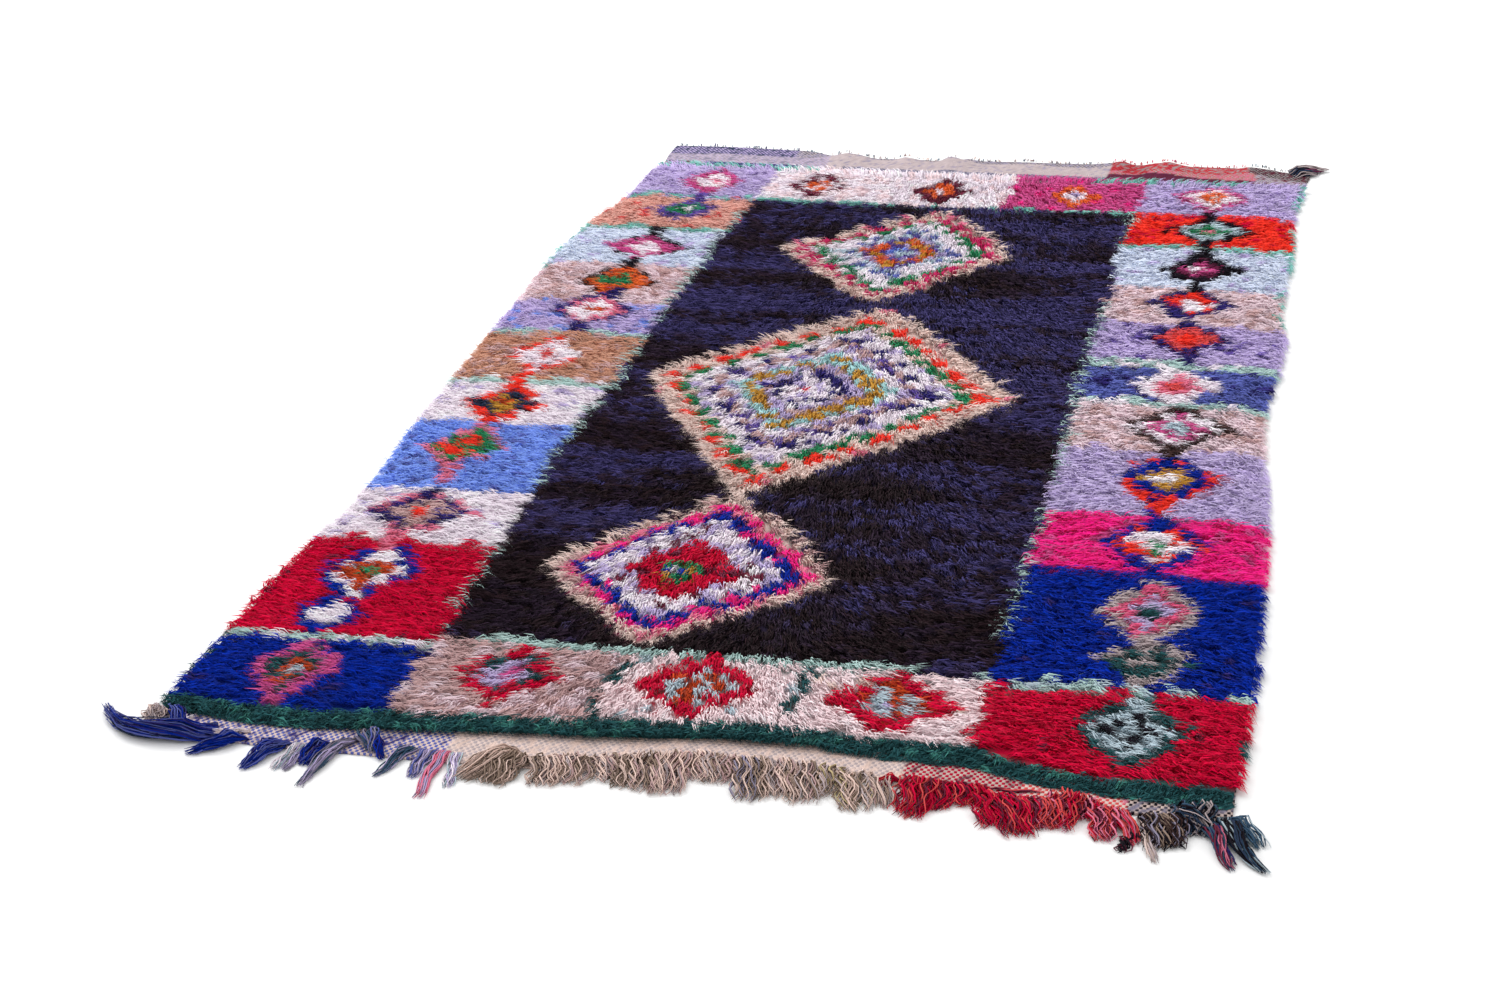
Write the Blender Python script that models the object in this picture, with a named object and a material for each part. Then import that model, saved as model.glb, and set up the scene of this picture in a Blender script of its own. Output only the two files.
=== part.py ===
"""Boucherouite rug: a knotted rag-yarn pile on a woven ground, with flat-woven ends and loose warp ends.

Metres, +Z up. The origin is on the floor under the middle of the pile, X runs across the rug, and Y runs
from the fringed near end to the far end. The rug lies flat, and the floor is at Z = 0.
"""
import math
from collections import namedtuple

import bmesh
import bpy
from mathutils import Vector, noise

# Thicknesses and clearances
GAP = 0.0003
GROUND_THICKNESS = 0.003
PILE_BASE = GROUND_THICKNESS + GAP
PILE_TOP = 0.021
PILE_LUMP = 0.008
PILE_LUMP_LENGTH = 0.11
RIM_TOP = 0.015
RIM_FALL = 0.06

# The pile's top is a mix of round lumps and of ridges that run across the rug
LUMP_SHARE, RIDGE_SHARE = 0.7, 0.6
RIDGE_SCALE_X, RIDGE_SCALE_Y = 0.7, 1.9

# How far the woven ground and the pile's slab stay inside the tips of the rim locks
GROUND_INSET = 0.014
SLAB_INSET = 0.022
END_INSET = 0.018

# Grid steps of the two cloth slabs
GROUND_COLUMNS, GROUND_ROWS, BAND_ROWS = 42, 26, 4
BAND_START = 0.95
PILE_COLUMNS, PILE_ROWS = 30, 56
PLACE_DIGITS = 6

# Faces that count as upright, and as facing a strip's loose ends
UPRIGHT_NORMAL = 0.2
FRONT_NORMAL = 0.7

# Warp ends: a thin strip along the cloth's edge carries the strands
STRIP_DEPTH = 0.006
STRIP_HEIGHT = 0.005
STRAND_WIDTH = 0.0068
STRAND_TIP_WIDTH = 0.0032
STRAND_TIP_HEIGHT = 0.003
STRAND_RINGS = (0.3, 0.65, 1.0)

# The rug's sides: how far the tips of the rim locks reach at each bulge or pull of the edge
Side = namedtuple("Side", "y left right")
SIDES = (
    Side(1.44, -0.716, 0.700),
    Side(1.33, -0.706, 0.687),
    Side(1.07, -0.704, 0.678),
    Side(0.80, -0.732, 0.687),
    Side(0.64, -0.742, 0.686),
    Side(0.48, -0.732, 0.686),
    Side(0.28, -0.722, 0.705),
    Side(0.02, -0.710, 0.690),
    Side(-0.25, -0.702, 0.703),
    Side(-0.45, -0.683, 0.720),
    Side(-0.60, -0.676, 0.730),
    Side(-0.92, -0.690, 0.742),
    Side(-1.17, -0.688, 0.744),
    Side(-1.41, -0.684, 0.746),
)

# The rug's two ends: where the pile's locks reach, and where the flat weave stops
End = namedtuple("End", "x pile weave")
NEAR_END = (
    End(-0.70, -1.338, -1.392),
    End(-0.54, -1.360, -1.412),
    End(-0.38, -1.368, -1.412),
    End(-0.22, -1.358, -1.408),
    End(0.06, -1.330, -1.368),
    End(0.20, -1.308, -1.362),
    End(0.33, -1.306, -1.373),
    End(0.47, -1.335, -1.380),
    End(0.60, -1.348, -1.389),
    End(0.74, -1.352, -1.391),
)
FAR_END = (
    End(-0.71, 1.292, 1.462),
    End(-0.45, 1.290, 1.460),
    End(-0.34, 1.286, 1.412),
    End(-0.10, 1.282, 1.418),
    End(0.10, 1.282, 1.430),
    End(0.30, 1.286, 1.436),
    End(0.50, 1.290, 1.446),
    End(0.60, 1.292, 1.434),
    End(0.70, 1.296, 1.412),
)

# Waves where the far flat weave stands off the floor
Ripple = namedtuple("Ripple", "x half_width height")
RIPPLES = (
    Ripple(-0.58, 0.140, 0.003),
    Ripple(-0.30, 0.070, 0.015),
    Ripple(-0.17, 0.040, 0.011),
    Ripple(-0.064, 0.040, 0.020),
    Ripple(0.10, 0.070, 0.004),
    Ripple(0.28, 0.040, 0.013),
    Ripple(0.384, 0.070, 0.014),
    Ripple(0.565, 0.050, 0.010),
)
RIPPLE_START = 0.025

# Rim locks: each rim face of the pile is drawn out in two steps
LockStep = namedtuple("LockStep", "reach width height")
LOCK_STEPS = (LockStep(0.55, 0.72, 0.74), LockStep(1.0, 0.20, 0.30))
LOCK_LEAN = 0.022
LOCK_UNEVENNESS = 0.14

# Bunches of warp ends: where each leaves the edge, and where its tip lies. bend moves the middle sideways.
Bunch = namedtuple("Bunch", "start end strands tip_x tip_y tip_spread bend_x bend_y")
Root = namedtuple("Root", "place bunch share")
BLUE_ENDS = (
    Bunch(-0.662, -0.592, 7, -0.738, -1.354, 0.034, 0.002, -0.072),
    Bunch(-0.584, -0.535, 5, -0.586, -1.462, 0.026, 0.008, 0.000),
    Bunch(-0.527, -0.478, 5, -0.508, -1.484, 0.024, 0.004, 0.000),
    Bunch(-0.470, -0.430, 4, -0.462, -1.476, 0.020, 0.003, 0.000),
    Bunch(-0.422, -0.382, 4, -0.415, -1.512, 0.018, 0.004, 0.000),
)
LILAC_ENDS = (
    Bunch(-0.366, -0.326, 4, -0.345, -1.462, 0.022, 0.000, 0.000),
    Bunch(-0.318, -0.288, 3, -0.304, -1.468, 0.018, 0.003, 0.000),
    Bunch(-0.280, -0.240, 4, -0.262, -1.515, 0.020, -0.004, 0.000),
)
CREAM_ENDS = (
    Bunch(-0.226, -0.176, 5, -0.205, -1.468, 0.036, 0.000, 0.000),
    Bunch(-0.166, -0.126, 4, -0.152, -1.442, 0.030, 0.004, 0.000),
    Bunch(-0.116, -0.076, 4, -0.102, -1.453, 0.030, 0.003, 0.000),
    Bunch(-0.066, -0.036, 3, -0.056, -1.428, 0.022, 0.003, 0.000),
    Bunch(-0.026, 0.014, 4, -0.010, -1.436, 0.032, 0.003, 0.000),
    Bunch(0.024, 0.064, 4, 0.038, -1.444, 0.030, 0.004, 0.000),
    Bunch(0.074, 0.104, 3, 0.086, -1.414, 0.022, 0.003, 0.000),
    Bunch(0.114, 0.154, 4, 0.132, -1.430, 0.032, 0.003, 0.000),
    Bunch(0.164, 0.204, 4, 0.178, -1.438, 0.032, 0.004, 0.000),
    Bunch(0.214, 0.244, 3, 0.226, -1.424, 0.024, 0.003, 0.000),
    Bunch(0.254, 0.304, 5, 0.276, -1.456, 0.036, 0.003, 0.000),
)
RED_ENDS = (
    Bunch(0.322, 0.362, 4, 0.338, -1.468, 0.024, 0.004, 0.000),
    Bunch(0.372, 0.412, 4, 0.390, -1.430, 0.030, 0.003, 0.000),
    Bunch(0.422, 0.462, 4, 0.445, -1.458, 0.030, 0.002, 0.000),
)
CORAL_ENDS = (
    Bunch(0.478, 0.518, 4, 0.496, -1.474, 0.026, 0.000, 0.000),
    Bunch(0.528, 0.558, 3, 0.538, -1.440, 0.022, 0.002, 0.000),
    Bunch(0.568, 0.598, 3, 0.586, -1.464, 0.018, -0.003, 0.000),
)
BROWN_ENDS = (
    Bunch(0.610, 0.654, 4, 0.640, -1.490, 0.030, -0.002, 0.000),
)
DARK_ENDS = (
    Bunch(0.668, 0.728, 6, 0.766, -1.492, 0.034, 0.008, 0.006),
)
CORNER_ENDS = (
    Bunch(1.348, 1.396, 5, 0.718, 1.452, 0.020, 0.006, -0.014),
)

# Colours of the yarns, linear RGB
COLOURS = {
    "cloth": (0.50, 0.43, 0.38),
    "pile": (0.030, 0.016, 0.040),
    "blue": (0.020, 0.045, 0.260),
    "lilac": (0.250, 0.220, 0.330),
    "cream": (0.480, 0.400, 0.300),
    "red": (0.420, 0.010, 0.030),
    "coral": (0.500, 0.080, 0.070),
    "brown": (0.050, 0.025, 0.018),
    "dark": (0.015, 0.025, 0.050),
}


def smooth(share):
    """Eases a share between 0 and 1."""
    share = min(max(share, 0.0), 1.0)
    return share * share * (3 - 2 * share)


def read_table(table, key, column, place):
    """Value of a column at a place along the table's key, eased from row to row."""
    rows = sorted(table, key=lambda row: getattr(row, key))
    if place <= getattr(rows[0], key):
        return getattr(rows[0], column)
    for low, high in zip(rows, rows[1:]):
        low_key, high_key = getattr(low, key), getattr(high, key)
        if place <= high_key:
            share = smooth((place - low_key) / (high_key - low_key))
            low_value, high_value = getattr(low, column), getattr(high, column)
            return low_value + share * (high_value - low_value)
    return getattr(rows[-1], column)


def side_x(share, y, inset):
    """X at a share of the way from the left edge to the right edge, at a place along the rug."""
    left = read_table(SIDES, "y", "left", y) + inset
    right = read_table(SIDES, "y", "right", y) - inset
    return left + share * (right - left)


def lift(x, y):
    """Height of the ground's underside: zero on the floor, more in the far end's ripples."""
    start = read_table(FAR_END, "x", "pile", x) + RIPPLE_START
    end = read_table(FAR_END, "x", "weave", x)
    rise = smooth((y - start) / (end - start))
    height = 0.0
    for ripple in RIPPLES:
        height += ripple.height * smooth(1 - abs(x - ripple.x) / ripple.half_width)
    return rise * height


def ground_rows():
    """Shares of the rug's length for the rows of the ground, with the last ones in the far flat weave."""
    rows = [BAND_START * row / GROUND_ROWS for row in range(GROUND_ROWS)]
    rows += [BAND_START + (1 - BAND_START) * row / BAND_ROWS for row in range(BAND_ROWS + 1)]
    return rows


def place_between(u, v, near_column, far_column, side_inset, end_inset):
    """Point of a cloth slab at shares u across and v along, between its near end and its far end."""
    middle_x = side_x(u, 0.0, side_inset)
    near_y = read_table(NEAR_END, "x", near_column, middle_x) + end_inset
    far_y = read_table(FAR_END, "x", far_column, middle_x) - end_inset
    y = near_y + v * (far_y - near_y)
    return side_x(u, y, side_inset), y


def ground_place(u, v):
    return place_between(u, v, "weave", "weave", GROUND_INSET, 0.0)


def pile_place(u, v):
    return place_between(u, v, "pile", "pile", SLAB_INSET, END_INSET)


def pile_height(x, y, u, v):
    """Height of the pile: tufts lie in lumps, and the slab falls towards its rim."""
    lump = noise.noise(Vector((x, y, 0.0)) / PILE_LUMP_LENGTH)
    ridge = noise.noise(Vector((RIDGE_SCALE_X * x, RIDGE_SCALE_Y * y, PILE_TOP)) / PILE_LUMP_LENGTH)
    from_rim = min(u, 1 - u) * (SIDES[0].right - SIDES[0].left)
    from_end = min(v, 1 - v) * (FAR_END[0].pile - NEAR_END[0].pile)
    inside = smooth(min(from_rim, from_end) / RIM_FALL)
    top = RIM_TOP + inside * (PILE_TOP - RIM_TOP)
    lumps = LUMP_SHARE * lump + RIDGE_SHARE * ridge
    return top + PILE_LUMP * (1 + inside) / 2 * lumps


def new_material(name, colour):
    material = bpy.data.materials.new(name)
    material.use_nodes = True
    shader = material.node_tree.nodes["Principled BSDF"]
    shader.inputs["Base Color"].default_value = (*colour, 1.0)
    shader.inputs["Roughness"].default_value = 0.92
    shader.inputs["Metallic"].default_value = 0.0
    return material


def add_object(name, bm, colour_name, collection):
    """Turns a finished bmesh into a named object with its own material."""
    bmesh.ops.recalc_face_normals(bm, faces=bm.faces[:])
    mesh = bpy.data.meshes.new(name)
    bm.to_mesh(mesh)
    bm.free()
    mesh.materials.append(new_material(name, COLOURS[colour_name]))
    obj = bpy.data.objects.new(name, mesh)
    collection.objects.link(obj)
    return obj


def cloth_slab(column_shares, row_shares, bottom, top):
    """A closed slab on a grid. bottom and top give a point for shares u across and v along."""

    def place_key(vert):
        return round(vert.co.x, PLACE_DIGITS), round(vert.co.y, PLACE_DIGITS)

    bm = bmesh.new()
    columns, rows = len(column_shares) - 1, len(row_shares) - 1
    bmesh.ops.create_grid(bm, x_segments=columns, y_segments=rows, size=0.5)
    shares = {}
    for vert in bm.verts:
        column = round((vert.co.x + 0.5) * columns)
        row = round((vert.co.y + 0.5) * rows)
        shares[vert] = (column_shares[column], row_shares[row])
    for vert, (u, v) in shares.items():
        vert.co = bottom(u, v)
    low_verts = list(shares)
    raised = bmesh.ops.extrude_face_region(bm, geom=bm.faces[:])["geom"]
    high_verts = [item for item in raised if isinstance(item, bmesh.types.BMVert)]
    by_place = {place_key(vert): shares[vert] for vert in low_verts}
    for vert in high_verts:
        u, v = by_place[place_key(vert)]
        vert.co = top(u, v)
    bm.normal_update()
    return bm


def even_shares(count):
    return [step / count for step in range(count + 1)]


def build_ground(collection):
    """The woven foundation: plain under the pile, and seen as flat weave at both ends."""

    def bottom(u, v):
        x, y = ground_place(u, v)
        return Vector((x, y, lift(x, y)))

    def top(u, v):
        return bottom(u, v) + Vector((0, 0, GROUND_THICKNESS))

    bm = cloth_slab(even_shares(GROUND_COLUMNS), ground_rows(), bottom, top)
    return add_object("ground_weave", bm, "cloth", collection)


def grow_lock(bm, face, at_side, reach, lean):
    """Draws one rim face of the pile out into a lock that tapers and ends low."""
    centre = face.calc_center_median()
    outward = Vector((face.normal.x, face.normal.y, 0)).normalized()
    across = Vector((-outward.y, outward.x, 0))
    half_width = max(abs((vert.co - centre).dot(across)) for vert in face.verts)
    root_height = 2 * (centre.z - PILE_BASE)
    for step in LOCK_STEPS:
        face = bmesh.ops.extrude_discrete_faces(bm, faces=[face])["faces"][0]
        ring_centre = face.calc_center_median()
        on_floor = at_side and step is LOCK_STEPS[-1]
        base = GAP if on_floor else PILE_BASE
        middle = centre + outward * reach * step.reach + across * lean * step.reach
        for vert in face.verts:
            side = math.copysign(1.0, (vert.co - ring_centre).dot(across))
            height = root_height * step.height if vert.co.z > ring_centre.z else 0.0
            place = middle + across * side * half_width * step.width
            vert.co = Vector((place.x, place.y, base + height))


def build_pile(collection):
    """The knotted pile: a lumpy slab with a rim of locks that hang over the ground's edges."""

    def bottom(u, v):
        x, y = pile_place(u, v)
        return Vector((x, y, PILE_BASE))

    def top(u, v):
        x, y = pile_place(u, v)
        return Vector((x, y, pile_height(x, y, u, v)))

    bm = cloth_slab(even_shares(PILE_COLUMNS), even_shares(PILE_ROWS), bottom, top)
    bmesh.ops.recalc_face_normals(bm, faces=bm.faces[:])
    rim_faces = [face for face in bm.faces if abs(face.normal.z) < UPRIGHT_NORMAL]
    for face in rim_faces:
        centre = face.calc_center_median()
        at_side = abs(face.normal.x) > abs(face.normal.y)
        reach = SLAB_INSET if at_side else END_INSET
        reach *= 1 + LOCK_UNEVENNESS * noise.noise(centre / PILE_BASE)
        lean = LOCK_LEAN * noise.noise(centre / SLAB_INSET)
        grow_lock(bm, face, at_side, reach, lean)
    return add_object("pile", bm, "pile", collection)


def near_edge(x):
    """The ground's near edge as its grid draws it: straight from column to column."""
    columns = [ground_place(u, 0.0) for u in even_shares(GROUND_COLUMNS)]
    for (low_x, low_y), (high_x, high_y) in zip(columns, columns[1:]):
        if x <= high_x:
            share = (x - low_x) / (high_x - low_x)
            return Vector((x, low_y + share * (high_y - low_y) - GAP, 0.0))
    return Vector((x, columns[-1][1] - GAP, 0.0))


def far_corner_edge(y):
    """The ground's right edge in the far flat weave, straight from row to row."""
    rows = [ground_place(1.0, v) for v in ground_rows()]
    for (low_x, low_y), (high_x, high_y) in zip(rows, rows[1:]):
        if low_y <= y <= high_y:
            share = (y - low_y) / (high_y - low_y)
            return Vector((low_x + share * (high_x - low_x) + GAP, y, 0.0))
    return Vector((rows[-1][0] + GAP, y, 0.0))


def strand_roots(bunches):
    """Middle of each strand's root along the edge, with its bunch and its share from -0.5 to 0.5."""
    roots = []
    for bunch in bunches:
        for index in range(bunch.strands):
            share = index / (bunch.strands - 1)
            place = bunch.start + share * (bunch.end - bunch.start)
            roots.append(Root(place, bunch, share - 0.5))
    return roots


def bunch_line(bunch, edge, outward, t):
    """Point and direction of a bunch's middle line, a curve from the strip to the tip."""
    middle = (bunch.start + bunch.end) / 2
    root = edge(middle) + STRIP_DEPTH * outward
    tip = Vector((bunch.tip_x, bunch.tip_y, 0.0))
    control = (root + tip) / 2 + Vector((bunch.bend_x, bunch.bend_y, 0.0))
    point = (1 - t) ** 2 * root + 2 * t * (1 - t) * control + t * t * tip
    direction = 2 * (1 - t) * (control - root) + 2 * t * (tip - control)
    return point, direction.normalized()


def grow_strand(bm, face, bunch, share, edge, outward):
    """Draws one face of the strip out into a strand that lies level on the floor."""
    edge_along = Vector((-outward.y, outward.x, 0))
    along = edge_along
    for t in STRAND_RINGS:
        face = bmesh.ops.extrude_discrete_faces(bm, faces=[face])["faces"][0]
        ring_centre = face.calc_center_median()
        point, direction = bunch_line(bunch, edge, outward, t)
        square_across = Vector((-direction.y, direction.x, 0))
        across = ((1 - t) * edge_along + t * square_across).normalized()
        spread = (1 - t) * (bunch.end - bunch.start) + t * bunch.tip_spread
        middle = point + across * share * spread
        half_width = ((1 - t) * STRAND_WIDTH + t * STRAND_TIP_WIDTH) / 2
        top = (1 - t) * STRIP_HEIGHT + t * STRAND_TIP_HEIGHT
        for vert in face.verts:
            side = math.copysign(1.0, (vert.co - ring_centre).dot(along))
            height = top if vert.co.z > ring_centre.z else 0.0
            place = middle + across * side * half_width
            vert.co = Vector((place.x, place.y, height))
        along = across


def build_fringe(name, bunches, edge, outward, colour_name, collection):
    """Loose warp ends of one colour, fused into a thin strip that lies along the cloth's edge."""
    roots = strand_roots(bunches)
    stations = []
    for root in roots:
        stations += [root.place - STRAND_WIDTH / 2, root.place + STRAND_WIDTH / 2]
    stations = [stations[0] - GAP] + stations + [stations[-1] + GAP]

    def bottom(u, v):
        rear = edge(u)
        return rear + outward * STRIP_DEPTH * (1 - v)

    def top(u, v):
        return bottom(u, v) + Vector((0, 0, STRIP_HEIGHT))

    bm = cloth_slab(stations, [0.0, 1.0], bottom, top)
    bmesh.ops.recalc_face_normals(bm, faces=bm.faces[:])
    along = Vector((-outward.y, outward.x, 0))
    front_faces = [face for face in bm.faces if face.normal.dot(outward) > FRONT_NORMAL]
    front_faces.sort(key=lambda face: face.calc_center_median().dot(along))
    for root, face in zip(roots, front_faces[1::2]):
        grow_strand(bm, face, root.bunch, root.share, edge, outward)
    return add_object(name, bm, colour_name, collection)


def main():
    for obj in list(bpy.data.objects):
        bpy.data.objects.remove(obj)
    collection = bpy.data.collections.new("boucherouite_rug")
    bpy.context.scene.collection.children.link(collection)

    build_ground(collection)
    build_pile(collection)

    near, right = Vector((0, -1, 0)), Vector((1, 0, 0))
    build_fringe("fringe_blue", BLUE_ENDS, near_edge, near, "blue", collection)
    build_fringe("fringe_lilac", LILAC_ENDS, near_edge, near, "lilac", collection)
    build_fringe("fringe_cream", CREAM_ENDS, near_edge, near, "cream", collection)
    build_fringe("fringe_red", RED_ENDS, near_edge, near, "red", collection)
    build_fringe("fringe_coral", CORAL_ENDS, near_edge, near, "coral", collection)
    build_fringe("fringe_brown", BROWN_ENDS, near_edge, near, "brown", collection)
    build_fringe("fringe_dark", DARK_ENDS, near_edge, near, "dark", collection)
    build_fringe("corner_tassel", CORNER_ENDS, far_corner_edge, right, "dark", collection)


main()
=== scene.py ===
"""Boucherouite rug: a tufted rag-yarn pile in coloured blocks, flat-woven ends and loose warp ends.

Metres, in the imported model's frame: X runs across the rug, Y from the fringed near end to the far end.
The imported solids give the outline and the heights, and the tables below give the chart of the yarns.
"""
import math
from collections import namedtuple

import bpy
import numpy as np
from mathutils import Matrix, Vector
from mathutils.bvhtree import BVHTree


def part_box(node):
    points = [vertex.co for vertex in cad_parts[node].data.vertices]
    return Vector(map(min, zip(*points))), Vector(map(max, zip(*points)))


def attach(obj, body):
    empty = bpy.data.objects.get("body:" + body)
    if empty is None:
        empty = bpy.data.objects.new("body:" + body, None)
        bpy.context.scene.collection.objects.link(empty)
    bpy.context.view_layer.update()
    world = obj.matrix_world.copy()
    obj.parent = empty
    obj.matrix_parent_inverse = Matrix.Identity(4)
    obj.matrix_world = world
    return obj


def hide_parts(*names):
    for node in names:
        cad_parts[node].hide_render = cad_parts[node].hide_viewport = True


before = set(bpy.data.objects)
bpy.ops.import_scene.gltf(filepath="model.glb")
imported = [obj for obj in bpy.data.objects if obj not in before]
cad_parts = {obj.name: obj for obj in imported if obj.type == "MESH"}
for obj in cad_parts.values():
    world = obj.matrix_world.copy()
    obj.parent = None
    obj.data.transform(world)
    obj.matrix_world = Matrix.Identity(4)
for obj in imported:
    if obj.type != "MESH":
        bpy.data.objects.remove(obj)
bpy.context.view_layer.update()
EDGE_SPACING = 0.012

# Yarn colours, sRGB 0 to 255
YARNS = {
    "night": (42, 29, 44),
    "brownblack": (38, 24, 29),
    "navy": (64, 58, 106),
    "purple_night": (58, 48, 80),
    "crimson": (210, 0, 58),
    "royal": (0, 42, 158),
    "hot_pink": (248, 40, 142),
    "magenta": (212, 86, 150),
    "lavender": (200, 182, 227),
    "lilac": (200, 184, 224),
    "light_blue": (218, 226, 244),
    "sand": (234, 211, 219),
    "taupe": (207, 171, 171),
    "camel": (207, 153, 129),
    "white": (252, 240, 250),
    "periwinkle": (132, 163, 244),
    "salmon": (229, 173, 161),
    "vermilion": (252, 60, 44),
    "mint": (184, 212, 208),
    "teal_mint": (128, 196, 186),
    "dark_green": (40, 84, 88),
    "green": (44, 138, 92),
    "indigo": (50, 42, 112),
    "purple": (104, 82, 164),
    "steel": (98, 108, 184),
    "plum": (112, 38, 62),
    "mustard": (204, 152, 62),
    "slate": (64, 92, 118),
    "cream": (234, 210, 202),
    "rose": (236, 128, 158),
    "rust": (196, 70, 34),
    "orange": (232, 106, 52),
    "coral": (228, 84, 84),
    "brown": (66, 46, 44),
    "black": (26, 20, 30),
    "aqua": (176, 220, 222),
    "ice": (188, 206, 216),
    "khaki": (152, 130, 116),
    "greige": (238, 208, 196),
    "oat": (188, 172, 174),
    "ash": (150, 142, 164),
    "wine": (112, 36, 72),
    "warm_white": (252, 228, 232),
    "ink": (44, 58, 84),
    "deep_rose": (226, 92, 134),
    "raspberry": (210, 46, 108),
    "sea_green": (66, 130, 122),
    "straw": (204, 184, 140),
}
NAMES = list(YARNS)

# Tufts: knots stand in rows across the rug, and each knot is a bundle of brushed strands
ROW_PITCH = 0.0205
KNOT_PITCH = 0.0126
STRANDS = 26
ROOT_SPREAD = (0.0085, 0.0100)
TIP_SPREAD = 0.0085
LOCK_PITCH = 0.027
LOCK_PULL = 0.15
REACH = 0.029
REACH_SPREAD = 0.006
STRAND_WIDTH = 0.0009
STRAND_LENGTHS = (0.62, 1.12)
MIDDLE_HEIGHTS = (0.62, 1.0)
TIP_HEIGHTS = (0.45, 1.05)
STANDING_SHARE, WIRY_STANDING_SHARE = 0.12, 0.25
STANDING_RISE = 0.005
# Painted shade and highlight along each strand: its middle a little darker and its tip lighter than the yarn
MIDDLE_SHADE, TIP_HIGHLIGHT = 0.98, 1.06
ROLL = 0.9
LIGHT_YARN = 0.35
DARK_VARY, LIGHT_VARY = 0.72, 0.12
# Painted shade at the strands' roots, where neighbouring tufts shade them: strong on dark yarns, mild on
# light ones
DARK_YARN_ROOT_SHADE, LIGHT_YARN_ROOT_SHADE = 0.42, 0.84
UP = np.array([0.0, 0.0, 1.0])
MID_SHARE = 0.45
ROOT_Z = 0.004
LOWEST_TIP = 0.0022
SIDE_INSET = 0.014
FAR_INSET = 0.024
LEFT_SLACK = (-0.001, 0.010)
RIGHT_SLACK = (-0.003, 0.007)
NEAR_SLACK = (-0.006, 0.006)
NEAR_WAVE = 0.006

# The last rows along the far end stand full and lean away
FAR_ROWS = (0.006, 0.016)
FAR_TURN = 0.034
FAR_LEAN = 1.1
FAR_HEIGHT = 0.016
FAR_SLACK = 0.006

# The rim rows along the near end hang over the flat weave
RIM_ROWS = (0.007, 0.018, 0.030)
RIM_PITCH = 0.0090
RIM_REACH = 0.018
RIM_LEAN = (-0.75, -0.66)

# The chart's places are those of the floor behind the tips as the camera sees them. The tips show this
# high, this share of a strand's reach ahead of its root, and this far aside.
TIP_LIFT = 0.0065
TIP_AHEAD = 0.62
TIP_ASIDE = -0.0066
CHART_WANDER = 0.005
WANDER_SCALE = 0.028

Field = namedtuple("Field", "y left right")
FIELD_EDGES = (
    Field(1.05, -0.436, 0.354),
    Field(0.80, -0.442, 0.342),
    Field(0.60, -0.442, 0.360),
    Field(0.30, -0.438, 0.360),
    Field(0.00, -0.426, 0.364),
    Field(-0.40, -0.430, 0.380),
    Field(-0.60, -0.412, 0.384),
    Field(-1.07, -0.385, 0.388),
)
FIELD_FAR, FIELD_NEAR = 1.045, -1.085
FIELD_TONES = ((-0.42, "night"), (0.16, "purple_night"), (0.40, "navy"))

# Blocks of the borders. The two side borders are listed from the far end to the near end.
Strip = namedtuple("Strip", "far yarn second second_share")
LEFT_STRIPS = (
    Strip(1.40, "lavender", "lilac", 0.3),
    Strip(1.068, "teal_mint", "lavender", 0.3),
    Strip(1.045, "salmon", "coral", 0.08),
    Strip(0.838, "teal_mint", "mint", 0.3),
    Strip(0.812, "light_blue", "lavender", 0.12),
    Strip(0.585, "sand", "taupe", 0.4),
    Strip(0.355, "lavender", "periwinkle", 0.10),
    Strip(0.190, "mint", "lavender", 0.2),
    Strip(0.172, "camel", "taupe", 0.2),
    Strip(-0.060, "mint", "white", 0.2),
    Strip(-0.092, "white", "lilac", 0.10),
    Strip(-0.270, "periwinkle", "steel", 0.15),
    Strip(-0.560, "white", "lilac", 0.10),
    Strip(-0.764, "crimson", "plum", 0.02),
    Strip(-1.096, "mint", "white", 0.2),
    Strip(-1.112, "royal", "indigo", 0.03),
)
RIGHT_STRIPS = (
    Strip(1.40, "lavender", "lilac", 0.3),
    Strip(1.060, "vermilion", "crimson", 0.15),
    Strip(0.850, "teal_mint", "mint", 0.3),
    Strip(0.828, "light_blue", "lavender", 0.12),
    Strip(0.592, "sand", "taupe", 0.25),
    Strip(0.392, "lavender", "purple", 0.06),
    Strip(0.190, "mint", "white", 0.2),
    Strip(0.155, "steel", "indigo", 0.22),
    Strip(0.000, "mint", "white", 0.25),
    Strip(-0.030, "sand", "taupe", 0.25),
    Strip(-0.224, "lilac", "lavender", 0.25),
    Strip(-0.502, "hot_pink", "magenta", 0.2),
    Strip(-0.704, "royal", "indigo", 0.03),
    Strip(-1.068, "mint", "ice", 0.25),
    Strip(-1.088, "crimson", "plum", 0.02),
)
Block = namedtuple("Block", "left right yarn second second_share")
FAR_BLOCKS = (
    Block(-0.50, -0.190, "white", "warm_white", 0.30),
    Block(-0.190, 0.080, "white", "warm_white", 0.30),
    Block(0.080, 0.40, "magenta", "hot_pink", 0.05),
)
NEAR_BLOCKS = (
    Block(-0.50, -0.112, "taupe", "sand", 0.35),
    Block(-0.112, 0.145, "warm_white", "ice", 0.02),
    Block(0.145, 0.388, "warm_white", "cream", 0.06),
)
DIVIDERS = ((-0.112, "dark_green"), (0.145, "dark_green"))
DIVIDER_HALF = 0.007
DIVIDER_SHARE = 0.7
GREEN_DEPTH = 0.040

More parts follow.
